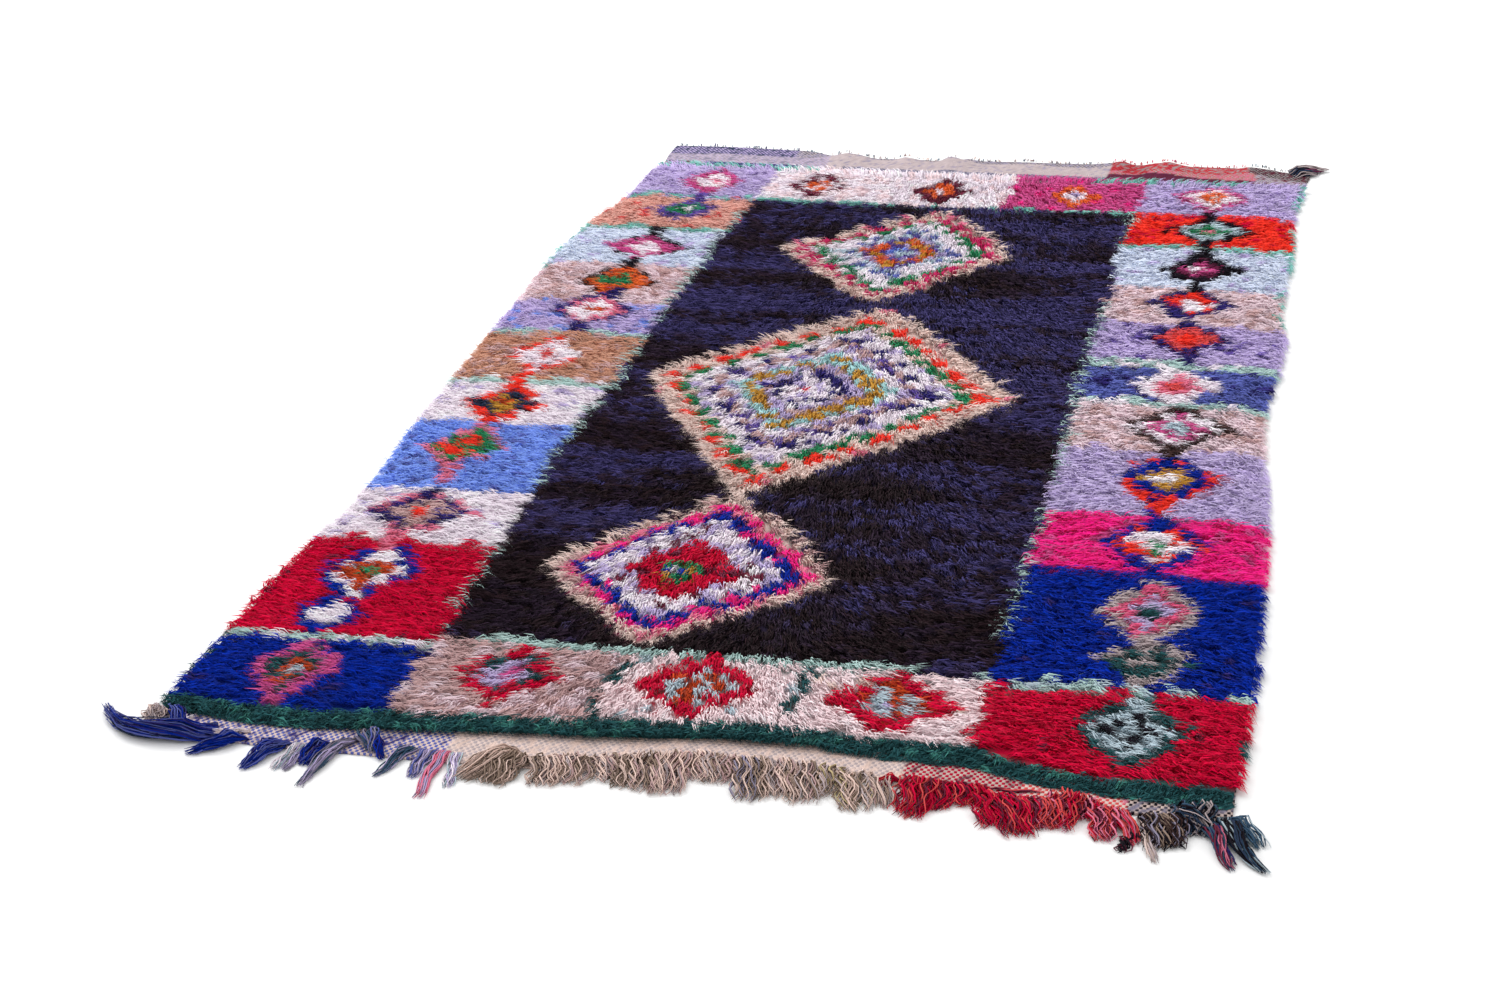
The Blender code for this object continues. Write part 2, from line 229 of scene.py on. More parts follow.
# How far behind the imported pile's near rim the green row hangs
Rim = namedtuple("Rim", "x inwards")
NEAR_INSETS = (
    Rim(-0.44, 0.000),
    Rim(-0.36, 0.020),
    Rim(-0.10, 0.030),
    Rim(0.10, 0.032),
    Rim(0.20, 0.020),
    Rim(0.27, 0.000),
    Rim(0.42, -0.002),
    Rim(0.52, -0.009),
    Rim(0.76, -0.010),
)
GREEN_LIGHT = 0.16
GREEN_RIM = 0.026
GREEN_RIM_SHARE = 0.3
GREEN_RIM_END = FIELD_NEAR - 0.02
TEAL_RIM = 0.028
TEAL_SHARE = 0.6
RIGHT_TEAL = 0.42
LEFT_TEAL = (0.55, 0.90)
FAR_TEAL = 0.026
FAR_TEAL_SHARE = 0.65
FAR_TEAL_SPANS = ((-1.0, -0.36), (0.25, 0.56))
MINT_LINE = 0.014
FAR_LINE = 0.012
SIDE_LINE = 0.009
SIDE_LINE_SHARE = 0.35

# Lozenges of the borders, in millimetres. Rings go from the outside in, and a number between two yarns is the
# percentage of the half sizes from which the next one fills the inside.
Lozenge = namedtuple("Lozenge", "x y half_x half_y rings")
LOZENGES = (
    (-554, 1165, 66, 105, "magenta 66 white 24 rose"),
    (-560, 955, 78, 86, "purple 62 green 20 white"),
    (-575, 700, 92, 86, "black 84 magenta 40 white"),
    (-570, 480, 84, 92, "brown 80 orange 46 green"),
    (-570, 308, 80, 100, "indigo 80 rose 56 white 28 rust"),
    (-580, 62, 70, 100, "vermilion 84 white 20 coral"),
    (-580, -188, 76, 98, "vermilion 72 ink 42 mustard 20 rust"),
    (-582, -385, 70, 104, "rose 78 green 52 vermilion 20 green"),
    (-565, -660, 88, 104, "rose 86 indigo 62 taupe 24 vermilion"),
    (-560, -885, 76, 118, "royal 74 white 52 rust 15 green"),
    (-568, -1030, 60, 70, "royal 56 white"),
    (-550, -1205, 66, 108, "magenta 66 dark_green 42 rust 15 ice"),
    (-325, 1165, 62, 100, "plum 64 white 46 orange 20 white"),
    (-65, 1160, 62, 96, "plum 64 orange 32 white"),
    (220, 1160, 56, 84, "orange 50 white 20 lilac"),
    (498, 1180, 76, 106, "magenta 74 white 44 orange 20 cream"),
    (508, 955, 86, 96, "black 70 ice 46 green 20 rose"),
    (512, 712, 84, 94, "black 64 wine 44 magenta 22 white"),
    (514, 505, 80, 92, "indigo 66 vermilion 44 white"),
    (522, 312, 78, 104, "indigo 72 coral 26 vermilion"),
    (525, 75, 84, 96, "white 56 rose 32 coral"),
    (545, -120, 98, 106, "brown 78 white 54 magenta 22 ice"),
    (550, -340, 86, 122, "vermilion 84 royal 46 mustard 20 white"),
    (552, -460, 24, 48, "vermilion"),
    (560, -600, 86, 104, "royal 76 vermilion 54 white 20 green"),
    (572, -830, 78, 120, "oat 74 deep_rose 44 lilac 20 dark_green"),
    (582, -985, 74, 78, "oat 76 dark_green 26 oat"),
    (585, -1190, 82, 106, "dark_green 76 ice 44 black 18 ice"),
    (-252, -1172, 80, 94, "crimson 66 dark_green 46 lilac 26 magenta"),
    (4, -1164, 96, 92, "crimson 60 ice 48 rust 30 ice 18 rust"),
    (272, -1166, 92, 96, "crimson 64 rust 46 ice 32 rust 20 lilac"),
)
LOZENGE_JITTER = 0.06

# Knots that link the lozenges, in millimetres
Link = namedtuple("Link", "x y yarn")
LINKS = (
    (-556, 1040, "purple"),
    (-580, 805, "black"),
    (-580, 598, "black"),
    (-556, 402, "indigo"),
    (-565, 210, "indigo"),
    (-590, -66, "vermilion"),
    (-570, -520, "rose"),
    (-568, -772, "rose"),
    (500, 1052, "black"),
    (505, 835, "black"),
    (507, 612, "black"),
    (515, 402, "indigo"),
    (535, 205, "indigo"),
    (550, -220, "brown"),
    (552, -515, "royal"),
    (565, -700, "royal"),
    (582, -920, "oat"),
)
LINK_HALF = (0.014, 0.034)

# Medallions of the field: the far tip stands a skew aside and the left tip a tilt beyond the middle. A ring
# may carry dashes of a second yarn, so long, over a share of its length.
Ring = namedtuple("Ring", "reach yarn dash length share")
Medallion = namedtuple("Medallion", "x y left right top bottom skew tilt rings")
FAR_RINGS = (
    Ring(1.00, "cream", "rose", 0.05, 0.12),
    Ring(0.90, "cream", "raspberry", 0.046, 0.68),
    Ring(0.77, "white", "green", 0.052, 0.62),
    Ring(0.65, "white", "ice", 0.050, 0.30),
    Ring(0.54, "white", "steel", 0.058, 0.40),
    Ring(0.46, "ice", "light_blue", 0.040, 0.50),
    Ring(0.40, "purple", "lilac", 0.034, 0.30),
    Ring(0.33, "orange", "mustard", 0.040, 0.50),
    Ring(0.20, "purple", "lilac", 0.040, 0.40),
    Ring(0.10, "periwinkle", "ice", 0.030, 0.40),
)
MIDDLE_RINGS = (
    Ring(1.00, "cream", "rose", 0.06, 0.06),
    Ring(0.895, "cream", "vermilion", 0.064, 0.62),
    Ring(0.815, "cream", "green", 0.060, 0.66),
    Ring(0.730, "white", "lilac", 0.050, 0.20),
    Ring(0.655, "white", "indigo", 0.080, 0.40),
    Ring(0.580, "taupe", "purple", 0.064, 0.34),
    Ring(0.510, "white", "lilac", 0.050, 0.40),
    Ring(0.445, "aqua", "mustard", 0.060, 0.34),
    Ring(0.375, "mustard", "aqua", 0.056, 0.26),
    Ring(0.310, "lilac", "taupe", 0.050, 0.30),
    Ring(0.245, "indigo", "white", 0.048, 0.36),
    Ring(0.150, "white", "lilac", 0.044, 0.20),
    Ring(0.055, "crimson", "white", 0.030, 0.20),
)
NEAR_RINGS = (
    Ring(1.00, "cream", "taupe", 0.05, 0.20),
    Ring(0.88, "hot_pink", "rose", 0.040, 0.45),
    Ring(0.79, "royal", "hot_pink", 0.058, 0.18),
    Ring(0.66, "white", "lilac", 0.040, 0.40),
    Ring(0.55, "white", "plum", 0.040, 0.36),
    Ring(0.48, "lilac", "white", 0.036, 0.40),
    Ring(0.41, "crimson", "plum", 0.040, 0.20),
    Ring(0.18, "mustard", "green", 0.030, 0.50),
    Ring(0.10, "royal", "white", 0.016, 0.50),
)
MEDALLIONS = (
    Medallion(-0.070, 0.735, 0.238, 0.214, 0.282, 0.318, 0.045, 0.000, FAR_RINGS),
    Medallion(-0.094, -0.040, 0.286, 0.366, 0.440, 0.480, 0.055, 0.032, MIDDLE_RINGS),
    Medallion(-0.109, -0.810, 0.207, 0.234, 0.300, 0.250, 0.015, 0.000, NEAR_RINGS),
)
BULGE = 1.06
WIRY_REACH, WIRY_SPREAD = 0.8, 1.3

# Warp ends in locks: each runs from its root, through a middle drawn aside by its bend, to its tip. The first
# eight columns are in millimetres.
Kind = namedtuple("Kind", "wave turns twist ragged")
KINDS = {
    "tassel": Kind(0.0024, 1.6, 0.35, 0.22),
    "hair": Kind(0.0022, 1.5, 0.0, 0.18),
    "curl": Kind(0.0046, 1.9, 0.0, 0.22),
}
THICKET = 1.5
WIDEN = 1.35
ROOT_BACK = 0.008
Lock = namedtuple("Lock", "x y width tip_x tip_y tip_width bend heap kind count yarns")
LOCK_LENGTHS = 8
BLUE = ("royal", "royal", "steel", "indigo", "steel")
DEEP_BLUE = ("royal", "indigo", "steel", "ink", "steel")
GREY = ("ash", "lilac", "slate")
PALE = ("white", "lilac", "ice")
KHAKI = ("khaki", "khaki", "greige")
GREIGE = ("greige", "greige", "greige", "taupe", "oat", "khaki")
STRAW = ("greige", "straw", "khaki", "greige", "oat")
RED = ("crimson", "crimson", "crimson", "plum", "coral")
CORAL = ("coral", "coral", "crimson", "rose", "plum")
BROWN = ("brown", "brown", "black", "black", "ash", "khaki")
DARK = ("black", "ink", "slate", "oat", "black")
LOCKS = {
    "fringe_blue": (
        (-570, -1396, 54, -753, -1340, 10, 47, 21, "tassel", 58, DEEP_BLUE),
        (-630, -1392, 26, -662, -1322, 14, 0, 16, "hair", 18, BLUE),
        (-536, -1401, 34, -591, -1451, 16, 4, 14, "tassel", 28, BLUE),
        (-478, -1406, 40, -503, -1480, 14, 0, 14, "tassel", 30, BLUE),
        (-450, -1408, 22, -463, -1475, 14, 0, 4, "hair", 9, PALE),
        (-422, -1400, 30, -431, -1456, 18, 0, 13, "tassel", 26, BLUE),
        (-434, -1410, 16, -449, -1473, 10, 0, 5, "hair", 10, GREY),
        (-392, -1384, 26, -412, -1513, 9, -6, 10, "tassel", 20, GREY),
        (-668, -1352, 24, -676, -1380, 20, 0, 14, "curl", 22, ("cream", "oat")),
        (-530, -1388, 10, -596, -1392, 6, 6, 6, "hair", 9, ("white", "cream")),
    ),
    "fringe_lilac": (
        (-377, -1372, 34, -344, -1410, 22, 0, 20, "tassel", 24, ("steel", "ash", "slate")),
        (-354, -1390, 22, -332, -1424, 6, 0, 16, "tassel", 16, ("indigo", "royal")),
        (-305, -1392, 28, -329, -1468, 5, 0, 7, "hair", 13, GREY),
        (-280, -1395, 26, -284, -1462, 12, 0, 8, "hair", 16, ("steel", "ash", "lilac")),
        (-262, -1395, 20, -256, -1511, 14, 0, 7, "hair", 16, ("rose", "lilac", "rose")),
        (-246, -1398, 22, -228, -1479, 16, 0, 5, "hair", 11, PALE),
    ),
    "fringe_cream": (
        (-160, -1386, 44, -224, -1456, 34, -6, 17, "hair", 40, KHAKI),
        (-166, -1390, 40, -178, -1464, 32, 0, 17, "curl", 30, KHAKI),
        (-116, -1388, 44, -112, -1456, 34, 0, 17, "curl", 28, GREIGE),
        (-83, -1380, 38, -82, -1446, 32, 0, 16, "curl", 24, GREIGE),
        (-47, -1374, 40, -34, -1430, 36, 0, 16, "curl", 24, GREIGE),
        (-20, -1370, 30, -10, -1442, 26, 0, 16, "curl", 20, KHAKI),
        (4, -1360, 40, 18, -1448, 36, 0, 20, "curl", 30, GREIGE),
        (34, -1352, 38, 46, -1450, 32, 0, 20, "curl", 28, GREIGE),
        (64, -1350, 38, 74, -1406, 32, 0, 16, "curl", 22, GREIGE),
        (96, -1350, 36, 99, -1410, 30, 0, 16, "curl", 22, GREIGE),
        (116, -1350, 26, 119, -1390, 22, 0, 12, "curl", 12, GREIGE),
        (136, -1348, 36, 150, -1448, 32, 0, 19, "curl", 28, ("greige", "ash", "khaki")),
        (162, -1348, 34, 180, -1433, 30, 0, 18, "curl", 26, GREIGE),
        (192, -1348, 38, 217, -1441, 34, 0, 18, "curl", 28, GREIGE),
        (229, -1350, 36, 236, -1420, 32, 0, 17, "curl", 24, STRAW),
        (262, -1358, 38, 284, -1450, 30, 0, 18, "curl", 28, STRAW),
        (296, -1366, 32, 320, -1430, 24, 0, 14, "hair", 20, GREIGE),
    ),
    "fringe_red": (
        (322, -1366, 14, 290, -1382, 10, 0, 10, "hair", 12, RED),
        (352, -1358, 46, 346, -1452, 36, 0, 16, "curl", 34, RED),
        (384, -1364, 36, 378, -1428, 18, 0, 13, "curl", 24, RED),
        (414, -1368, 36, 412, -1412, 26, 0, 14, "curl", 24, RED),
        (428, -1372, 3, 507, -1360, 2, 0, 2, "hair", 3, RED),
        (442, -1380, 40, 456, -1457, 32, 0, 17, "curl", 30, RED),
        (466, -1384, 44, 490, -1474, 32, 0, 18, "curl", 38, RED),
    ),
    "fringe_coral": (
        (500, -1386, 40, 503, -1450, 36, 0, 18, "curl", 34, CORAL),
        (532, -1370, 38, 528, -1449, 32, 0, 20, "curl", 34, CORAL),
        (558, -1378, 30, 548, -1416, 26, 0, 14, "curl", 20, CORAL),
        (577, -1388, 32, 586, -1466, 20, 0, 14, "curl", 26, CORAL),
        (595, -1396, 30, 626, -1465, 18, 0, 12, "hair", 26, CORAL),
    ),
    "fringe_brown": (
        (618, -1440, 12, 607, -1485, 8, 0, 6, "curl", 8, ("black", "plum")),
        (627, -1402, 22, 651, -1503, 12, 0, 8, "hair", 14, ("oat", "cream")),
        (640, -1396, 30, 654, -1474, 24, 0, 16, "curl", 28, BROWN),
        (660, -1394, 30, 673, -1466, 20, 0, 16, "curl", 28, BROWN),
    ),
    "fringe_dark": (
        (684, -1374, 44, 692, -1434, 32, 0, 20, "curl", 30, DARK),
        (664, -1392, 22, 722, -1404, 32, -10, 24, "hair", 22, DARK),
        (705, -1408, 26, 742, -1505, 12, 0, 15, "tassel", 24, ("plum", "indigo", "slate", "rose")),
        (722, -1390, 34, 781, -1506, 10, -8, 18, "tassel", 34, ("ink", "slate", "ice", "black")),
        (732, -1390, 24, 772, -1448, 20, 3, 13, "hair", 20, ("slate", "ice", "slate")),
    ),
    "corner_tassel": (
        (640, 1418, 30, 722, 1455, 14, 0, 13, "tassel", 26, ("black", "ink", "oat")),
        (660, 1400, 24, 712, 1446, 14, 0, 9, "hair", 14, ("wine", "ink", "ash")),
        (650, 1390, 36, 700, 1424, 24, 0, 12, "hair", 22, ("black", "oat", "ink")),
    ),
}
WARP_SLOTS = {
    "fringe_blue": "warp_blue",
    "fringe_lilac": "warp_lilac",
    "fringe_cream": "warp_cream",
    "fringe_red": "warp_red",
    "fringe_coral": "warp_coral",
    "fringe_brown": "warp_brown",
    "fringe_dark": "warp_dark",
    "corner_tassel": "warp_dark",
}
YARN_RADIUS = 0.00105
YARN_RINGS = 10
YARN_SIDES = 3
WEAVE_TOP = 0.0030

# Small loops of warp along the far edge
LOOPS = 190
LOOP_RINGS = 6
LOOP_RADIUS = 0.0009
LOOP_WIDTH = 0.004
LOOP_REACH = (0.001, 0.006)
Tint = namedtuple("Tint", "right yarns")
LOOP_TINTS = (
    Tint(-0.36, ("indigo", "ice", "slate")),
    Tint(0.27, ("greige", "slate", "oat")),
    Tint(0.56, ("crimson", "coral", "rose")),
    Tint(0.80, ("black", "ice", "slate")),
)

# Flat weave: colour zones of each end, in order, with a warp and a weft yarn and some specks
Zone = namedtuple("Zone", "left right near far lean warp weft speck speck_share shade")
# The last column darkens each zone's yarns: partly painted shade, for the shade the weave's own relief would
# cast, and partly the yarns' own duller tone
ZONES = (
    Zone(-0.80, -0.62, -1.50, 0.0, 0.0, "indigo", "white", "oat", 0.30, 0.80),
    Zone(-0.62, -0.26, -1.50, 0.0, 0.0, "steel", "cream", "indigo", 0.22, 0.80),
    Zone(-0.26, 0.325, -1.50, 0.0, 0.0, "oat", "cream", "greige", 0.25, 0.84),
    Zone(0.325, 0.472, -1.50, 0.0, 0.0, "crimson", "cream", "plum", 0.12, 0.62),
    Zone(0.472, 0.602, -1.50, 0.0, 0.0, "coral", "cream", "rose", 0.15, 0.80),
    Zone(0.602, 0.80, -1.50, 0.0, 0.0, "black", "cream", "ash", 0.30, 0.66),
    Zone(-0.80, -0.34, 0.0, 1.50, 0.0, "lilac", "oat", "ash", 0.30, 0.72),
    Zone(-0.34, 0.27, 0.0, 1.50, 0.0, "oat", "oat", "ash", 0.10, 0.90),
    Zone(-0.80, -0.42, 1.402, 1.50, 0.0, "indigo", "lilac", "ink", 0.25, 0.70),
    Zone(-0.42, 0.27, 1.406, 1.50, 0.0, "ink", "oat", "ash", 0.35, 0.90),
    Zone(0.27, 0.575, 0.0, 1.50, 0.0, "coral", "oat", "rose", 0.35, 0.64),
    Zone(0.27, 0.350, 1.375, 1.50, -0.10, "crimson", "coral", "oat", 0.25, 0.52),
    Zone(0.35, 0.560, 1.385, 1.50, 0.05, "crimson", "coral", "oat", 0.35, 0.60),
    Zone(0.575, 0.80, 0.0, 1.50, 0.0, "ash", "oat", "plum", 0.25, 0.76),
    Zone(0.560, 0.80, 1.395, 1.50, -0.35, "black", "oat", "plum", 0.30, 0.56),
    Zone(-0.80, -0.64, 1.330, 1.346, 0.0, "plum", "brown", "ash", 0.10, 0.80),
    Zone(-0.61, -0.40, 1.290, 1.344, 0.0, "indigo", "indigo", "slate", 0.15, 0.75),
    Zone(-0.30, 0.27, 1.290, 1.338, 0.0, "ash", "ink", "ash", 0.30, 0.80),
    Zone(0.265, 0.350, 1.290, 1.352, 0.22, "wine", "wine", "plum", 0.30, 0.60),
    Zone(0.350, 0.575, 1.290, 1.374, -0.13, "wine", "wine", "plum", 0.30, 0.60),
)
WARP_PITCH = 0.0042
WEFT_PITCH = 0.0062
GROUND_COLUMNS = 260
GROUND_ROWS = (16, 22, 28)
GROUND_SHARES = (0.0, 0.045, 0.935, 1.0)
EDGE_FRAY = 0.0012
GROUND_RELIEF = 0.0004
GROUND_LOWEST = 0.003
GROUND_THICKNESS = 0.0026
BED_STEP = 0.022
BED_INSET = 0.012
BED_SHARE = 0.50
# Painted shade: the bed's colours are darkened to this share, for the shade between the tufts
BED_SHADE = 0.68

# Materials: tones of the fibres' mottling, where warp passes over weft, and how far the weave drifts
MOTTLE = (0.72, 1.26)
WEAVE_OVER = (-0.10, 0.16)
WEAVE_DRIFT = (0.003, 0.003, 0.0)

# Studio
FLOOR_HALF, FLOOR_DROP, FLOOR_TONE = 9.0, 0.0004, 0.86
WORLD_STRENGTH = 1.05
KEY_SIZE, KEY_ENERGY, KEY_PLACE = 3.0, 120.0, (-2.2, 1.6, 3.4)

# Camera, as the photograph was taken
CAMERA_PLACE = (0.892, -4.371, 1.657)
CAMERA_YAW, CAMERA_PITCH, CAMERA_ROLL = 13.97, 67.42, -1.69
LENS, SENSOR = 67.08, 36.0


def linear(yarn):
    """A yarn's linear colour."""
    share = np.array(YARNS[yarn]) / 255
    return np.where(share <= 0.04045, share / 12.92, ((share + 0.055) / 1.055) ** 2.4)


PALETTE = np.array([linear(name) for name in NAMES])
CODE = {name: index for index, name in enumerate(NAMES)}


def smooth(share):
    share = np.clip(share, 0.0, 1.0)
    return share * share * (3 - 2 * share)


def wave(x, y, seed):
    """Smooth noise between -1 and 1 with bumps about one unit wide."""
    table = np.random.default_rng(seed).uniform(-1, 1, (97, 97))
    column, row = np.floor(x).astype(int), np.floor(y).astype(int)
    u, v = smooth(x - column), smooth(y - row)

    def corner(dx, dy):
        return table[(column + dx) % 97, (row + dy) % 97]

    near = corner(0, 0) * (1 - u) + corner(1, 0) * u
    far = corner(0, 1) * (1 - u) + corner(1, 1) * u
    return near * (1 - v) + far * v


def metres(row, kind, lengths):
    """A table's row as its kind, with so many leading lengths turned from millimetres into metres."""
    return kind(*(length / 1000 for length in row[:lengths]), *row[lengths:])


def rings_of(text):
    """Where each ring of a lozenge begins, as a share of its half sizes, and its yarn."""
    words = text.split()
    return list(zip([1.0] + [int(percentage) / 100 for percentage in words[1::2]], words[::2]))


def eased(place, table, key, column):
    """A table's column at some places along its key."""
    rows = sorted(table, key=lambda row: getattr(row, key))
    keys = [getattr(row, key) for row in rows]
    return np.interp(place, keys, [getattr(row, column) for row in rows])


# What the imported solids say
def node_points(name):
    """Points close together along all edges of a node."""
    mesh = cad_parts[name].data
    points, edges = np.empty(len(mesh.vertices) * 3), np.empty(len(mesh.edges) * 2, int)
    mesh.vertices.foreach_get("co", points)
    mesh.edges.foreach_get("vertices", edges)
    points, edges = points.reshape(-1, 3), edges.reshape(-1, 2)
    start, end = points[edges[:, 0]], points[edges[:, 1]]
    steps = 2 + int(np.linalg.norm(end - start, axis=1).max() / EDGE_SPACING)
    shares = np.linspace(0, 1, steps)[:, None, None]
    return (start * (1 - shares) + end * shares).reshape(-1, 3)


def outermost(name, along, across, sign, step=0.05):
    """How far a node reaches across, in even steps along it."""
    points = node_points(name)
    low, high = points[:, along].min(), points[:, along].max()
    count = int((high - low) / step)
    places = np.linspace(low, high, count + 1)
    middles, reach = [], []
    for start, end in zip(places, places[1:]):
        inside = (points[:, along] >= start - 0.01) & (points[:, along] <= end + 0.01)
        if inside.any():
            middles.append((start + end) / 2)
            reach.append((points[inside, across] * sign).max() * sign)
    return np.array(middles), np.array(reach)


class Heights:
    """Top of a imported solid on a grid, read with rays from above, and eased between the grid's points."""

    def __init__(self, name, step, missing):
        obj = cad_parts[name]
        polygons = [tuple(face.vertices) for face in obj.data.polygons]
        tree = BVHTree.FromPolygons([v.co for v in obj.data.vertices], polygons)
        low, high = (np.array(corner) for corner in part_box(name))
        self.low, self.step = low[:2], step
        columns, rows = (int(n) + 2 for n in (high - low)[:2] / step)
        self.grid = np.full((columns, rows), missing)
        for column in range(columns):
            for row in range(rows):
                start = Vector((low[0] + column * step, low[1] + row * step, 1.0))
                place = tree.ray_cast(start, Vector((0, 0, -1)))[0]
                if place is not None:
                    self.grid[column, row] = place.z

    def __call__(self, x, y):
        u = np.clip((x - self.low[0]) / self.step, 0, self.grid.shape[0] - 1.001)
        v = np.clip((y - self.low[1]) / self.step, 0, self.grid.shape[1] - 1.001)
        column, row = u.astype(int), v.astype(int)
        u, v = u - column, v - row
        near = self.grid[column, row] * (1 - u) + self.grid[column + 1, row] * u
        far = self.grid[column, row + 1] * (1 - u) + self.grid[column + 1, row + 1] * u
        return near * (1 - v) + far * v


PILE_TOP = Heights("pile", 0.012, 0.004)
GROUND_TOP = Heights("ground_weave", 0.012, 0.003)
LEFT_RIM = outermost("pile", 1, 0, -1)
RIGHT_RIM = outermost("pile", 1, 0, 1)
PACKED_NEAR = outermost("pile", 0, 1, -1)
NEAR_RIM = (PACKED_NEAR[0], PACKED_NEAR[1] + eased(PACKED_NEAR[0], NEAR_INSETS, "x", "inwards"))
FAR_RIM = outermost("pile", 0, 1, 1)
NEAR_WEAVE = outermost("ground_weave", 0, 1, -1)
FAR_WEAVE = outermost("ground_weave", 0, 1, 1)


# The chart
def strip_codes(y, strips, rng):
    """Yarn of a side border at places along it, with some knots of the strip's second yarn."""
    codes = np.zeros(len(y), int)
    chance = rng.random(len(y))
    for strip in strips:
        inside = y <= strip.far
        codes[inside] = CODE[strip.yarn]
        codes[inside & (chance < strip.second_share)] = CODE[strip.second]
    return codes


def field_codes(x, y, rng):
    """The dark field, with streaks across it where the dye changes."""
    streak = wave(x * 2.3 + 7, y * 13, 11) + 0.45 * wave(x * 9, y * 46, 12)
    streak += 0.86 * smooth((y + 0.9) / 1.5) - 0.32 + 0.50 * rng.uniform(-1, 1, len(x))
    codes = np.full(len(x), CODE["brownblack"])
    for lowest, yarn in FIELD_TONES:
        codes[streak > lowest] = CODE[yarn]
    return codes


def medallion_share(medallion, x, y):
    """Distance from a medallion's centre, 1 on its outline, and the place along its edge."""
    far_share = np.clip((y - medallion.y) / medallion.top, 0, 1)
    left_share = np.clip((medallion.x - x) / medallion.left, 0, 1)
    dx = x - medallion.x - medallion.skew * far_share
    dy = y - medallion.y - medallion.tilt * left_share
    half_x = np.where(dx < 0, medallion.left, medallion.right)
    half_y = np.where(dy < 0, medallion.bottom, medallion.top)
    share = ((np.abs(dx) / half_x) ** BULGE + (np.abs(dy) / half_y) ** BULGE) ** (1 / BULGE)
    along = np.abs(dy) / half_y * np.hypot(half_x, half_y)
    turn = np.where(dx < 0, 0.37, 0.0) + np.where(dy < 0, 0.21, 0.0)
    return share, along, turn


def shown(x, y, ahead_x, ahead_y):
    """The place on the floor that a knot's tips hide from the camera."""
    x, y = x + TIP_AHEAD * ahead_x, y + TIP_AHEAD * ahead_y
    share = TIP_LIFT / CAMERA_PLACE[2]
    return x + share * (x - CAMERA_PLACE[0]) + TIP_ASIDE, y + share * (y - CAMERA_PLACE[1])


def chart(root_x, root_y, x, y, rng):
    """Yarn of each knot from its root and the place it shows at, the medallion whose wiry outline it is in,
    or -1, and whether it is beside the field's mint line."""
    from_near = root_y - np.interp(root_x, *NEAR_RIM)
    from_far = np.interp(root_x, *FAR_RIM) - root_y
    from_left = root_x - np.interp(root_y, *LEFT_RIM)
    from_right = np.interp(root_y, *RIGHT_RIM) - root_x
    x = x + CHART_WANDER * wave(x / WANDER_SCALE, y / WANDER_SCALE, 21)
    y = y + CHART_WANDER * wave(x / WANDER_SCALE, y / WANDER_SCALE, 22)
    left = eased(y, FIELD_EDGES, "y", "left")
    right = eased(y, FIELD_EDGES, "y", "right")
    codes = field_codes(x, y, rng)
    chance = rng.random(len(x))

    line = (y > FIELD_FAR) & (y < FIELD_FAR + MINT_LINE)
    codes[line] = CODE["teal_mint"]
    for block in FAR_BLOCKS:
        inside = (y > FIELD_FAR + FAR_LINE) & (x > block.left) & (x <= block.right)
        codes[inside] = CODE[block.yarn]
        codes[inside & (chance < block.second_share)] = CODE[block.second]
    codes[(y < FIELD_NEAR + MINT_LINE) & (y >= FIELD_NEAR)] = CODE["mint"]
    for block in NEAR_BLOCKS:
        inside = (y < FIELD_NEAR) & (x > block.left) & (x <= block.right)
        codes[inside] = CODE[block.yarn]
        codes[inside & (chance < block.second_share)] = CODE[block.second]
    for middle, yarn in DIVIDERS:
        near_line = (y < FIELD_NEAR) & (np.abs(x - middle) < DIVIDER_HALF) & (chance < DIVIDER_SHARE)
        codes[near_line] = CODE[yarn]
    on_left, on_right = x < left, x > right
    codes[on_left] = strip_codes(y[on_left], LEFT_STRIPS, rng)
    codes[on_right] = strip_codes(y[on_right], RIGHT_STRIPS, rng)
    beside = np.minimum(np.abs(x - left), np.abs(x - right)) < SIDE_LINE
    beside &= (wave(x * 3, y * 9, 23) > -0.2) & (y > FIELD_NEAR) & (y < FIELD_FAR)

    uneven = LOZENGE_JITTER * rng.normal(0, 1, len(x))
    for row in LOZENGES:
        lozenge = metres(row, Lozenge, 4)
        share = np.abs(x - lozenge.x) / lozenge.half_x + np.abs(y - lozenge.y) / lozenge.half_y
        share = share + uneven
        for reach, yarn in rings_of(lozenge.rings):
            codes[share < reach] = CODE[yarn]
    for row in LINKS:
        link = metres(row, Link, 2)
        inside = (np.abs(x - link.x) < LINK_HALF[0]) & (np.abs(y - link.y) < LINK_HALF[1])
        codes[inside] = CODE[link.yarn]

    rim = np.minimum(from_left, from_right)
    green = (rim < GREEN_RIM) & (y < GREEN_RIM_END) & (chance < GREEN_RIM_SHARE)
    codes[green] = CODE["dark_green"]
    teal = (from_right < TEAL_RIM) & (y > RIGHT_TEAL) & (chance < TEAL_SHARE)
    teal |= (from_left < GREEN_RIM) & (y > LEFT_TEAL[0]) & (y < LEFT_TEAL[1]) & (chance < TEAL_SHARE)
    for start, end in FAR_TEAL_SPANS:
        teal |= (from_far < FAR_TEAL) & (x > start) & (x < end) & (chance < FAR_TEAL_SHARE)
    codes[teal] = CODE["teal_mint"]
    codes[from_near < GREEN_DEPTH] = CODE["dark_green"]
    codes[(from_near < GREEN_DEPTH) & (chance < GREEN_LIGHT)] = CODE["sea_green"]

    outline = np.full(len(x), -1)
    for index, medallion in enumerate(MEDALLIONS):
        share, along, turn = medallion_share(medallion, x, y)
        for ring in medallion.rings:
            inside = share < ring.reach
            dashed = inside & (np.mod(along / ring.length + turn, 1.0) < ring.share)
            codes[inside] = CODE[ring.yarn]
            codes[dashed] = CODE[ring.dash]
        outline[(share < 1.0) & (share > medallion.rings[1].reach)] = index
    return codes, outline, beside


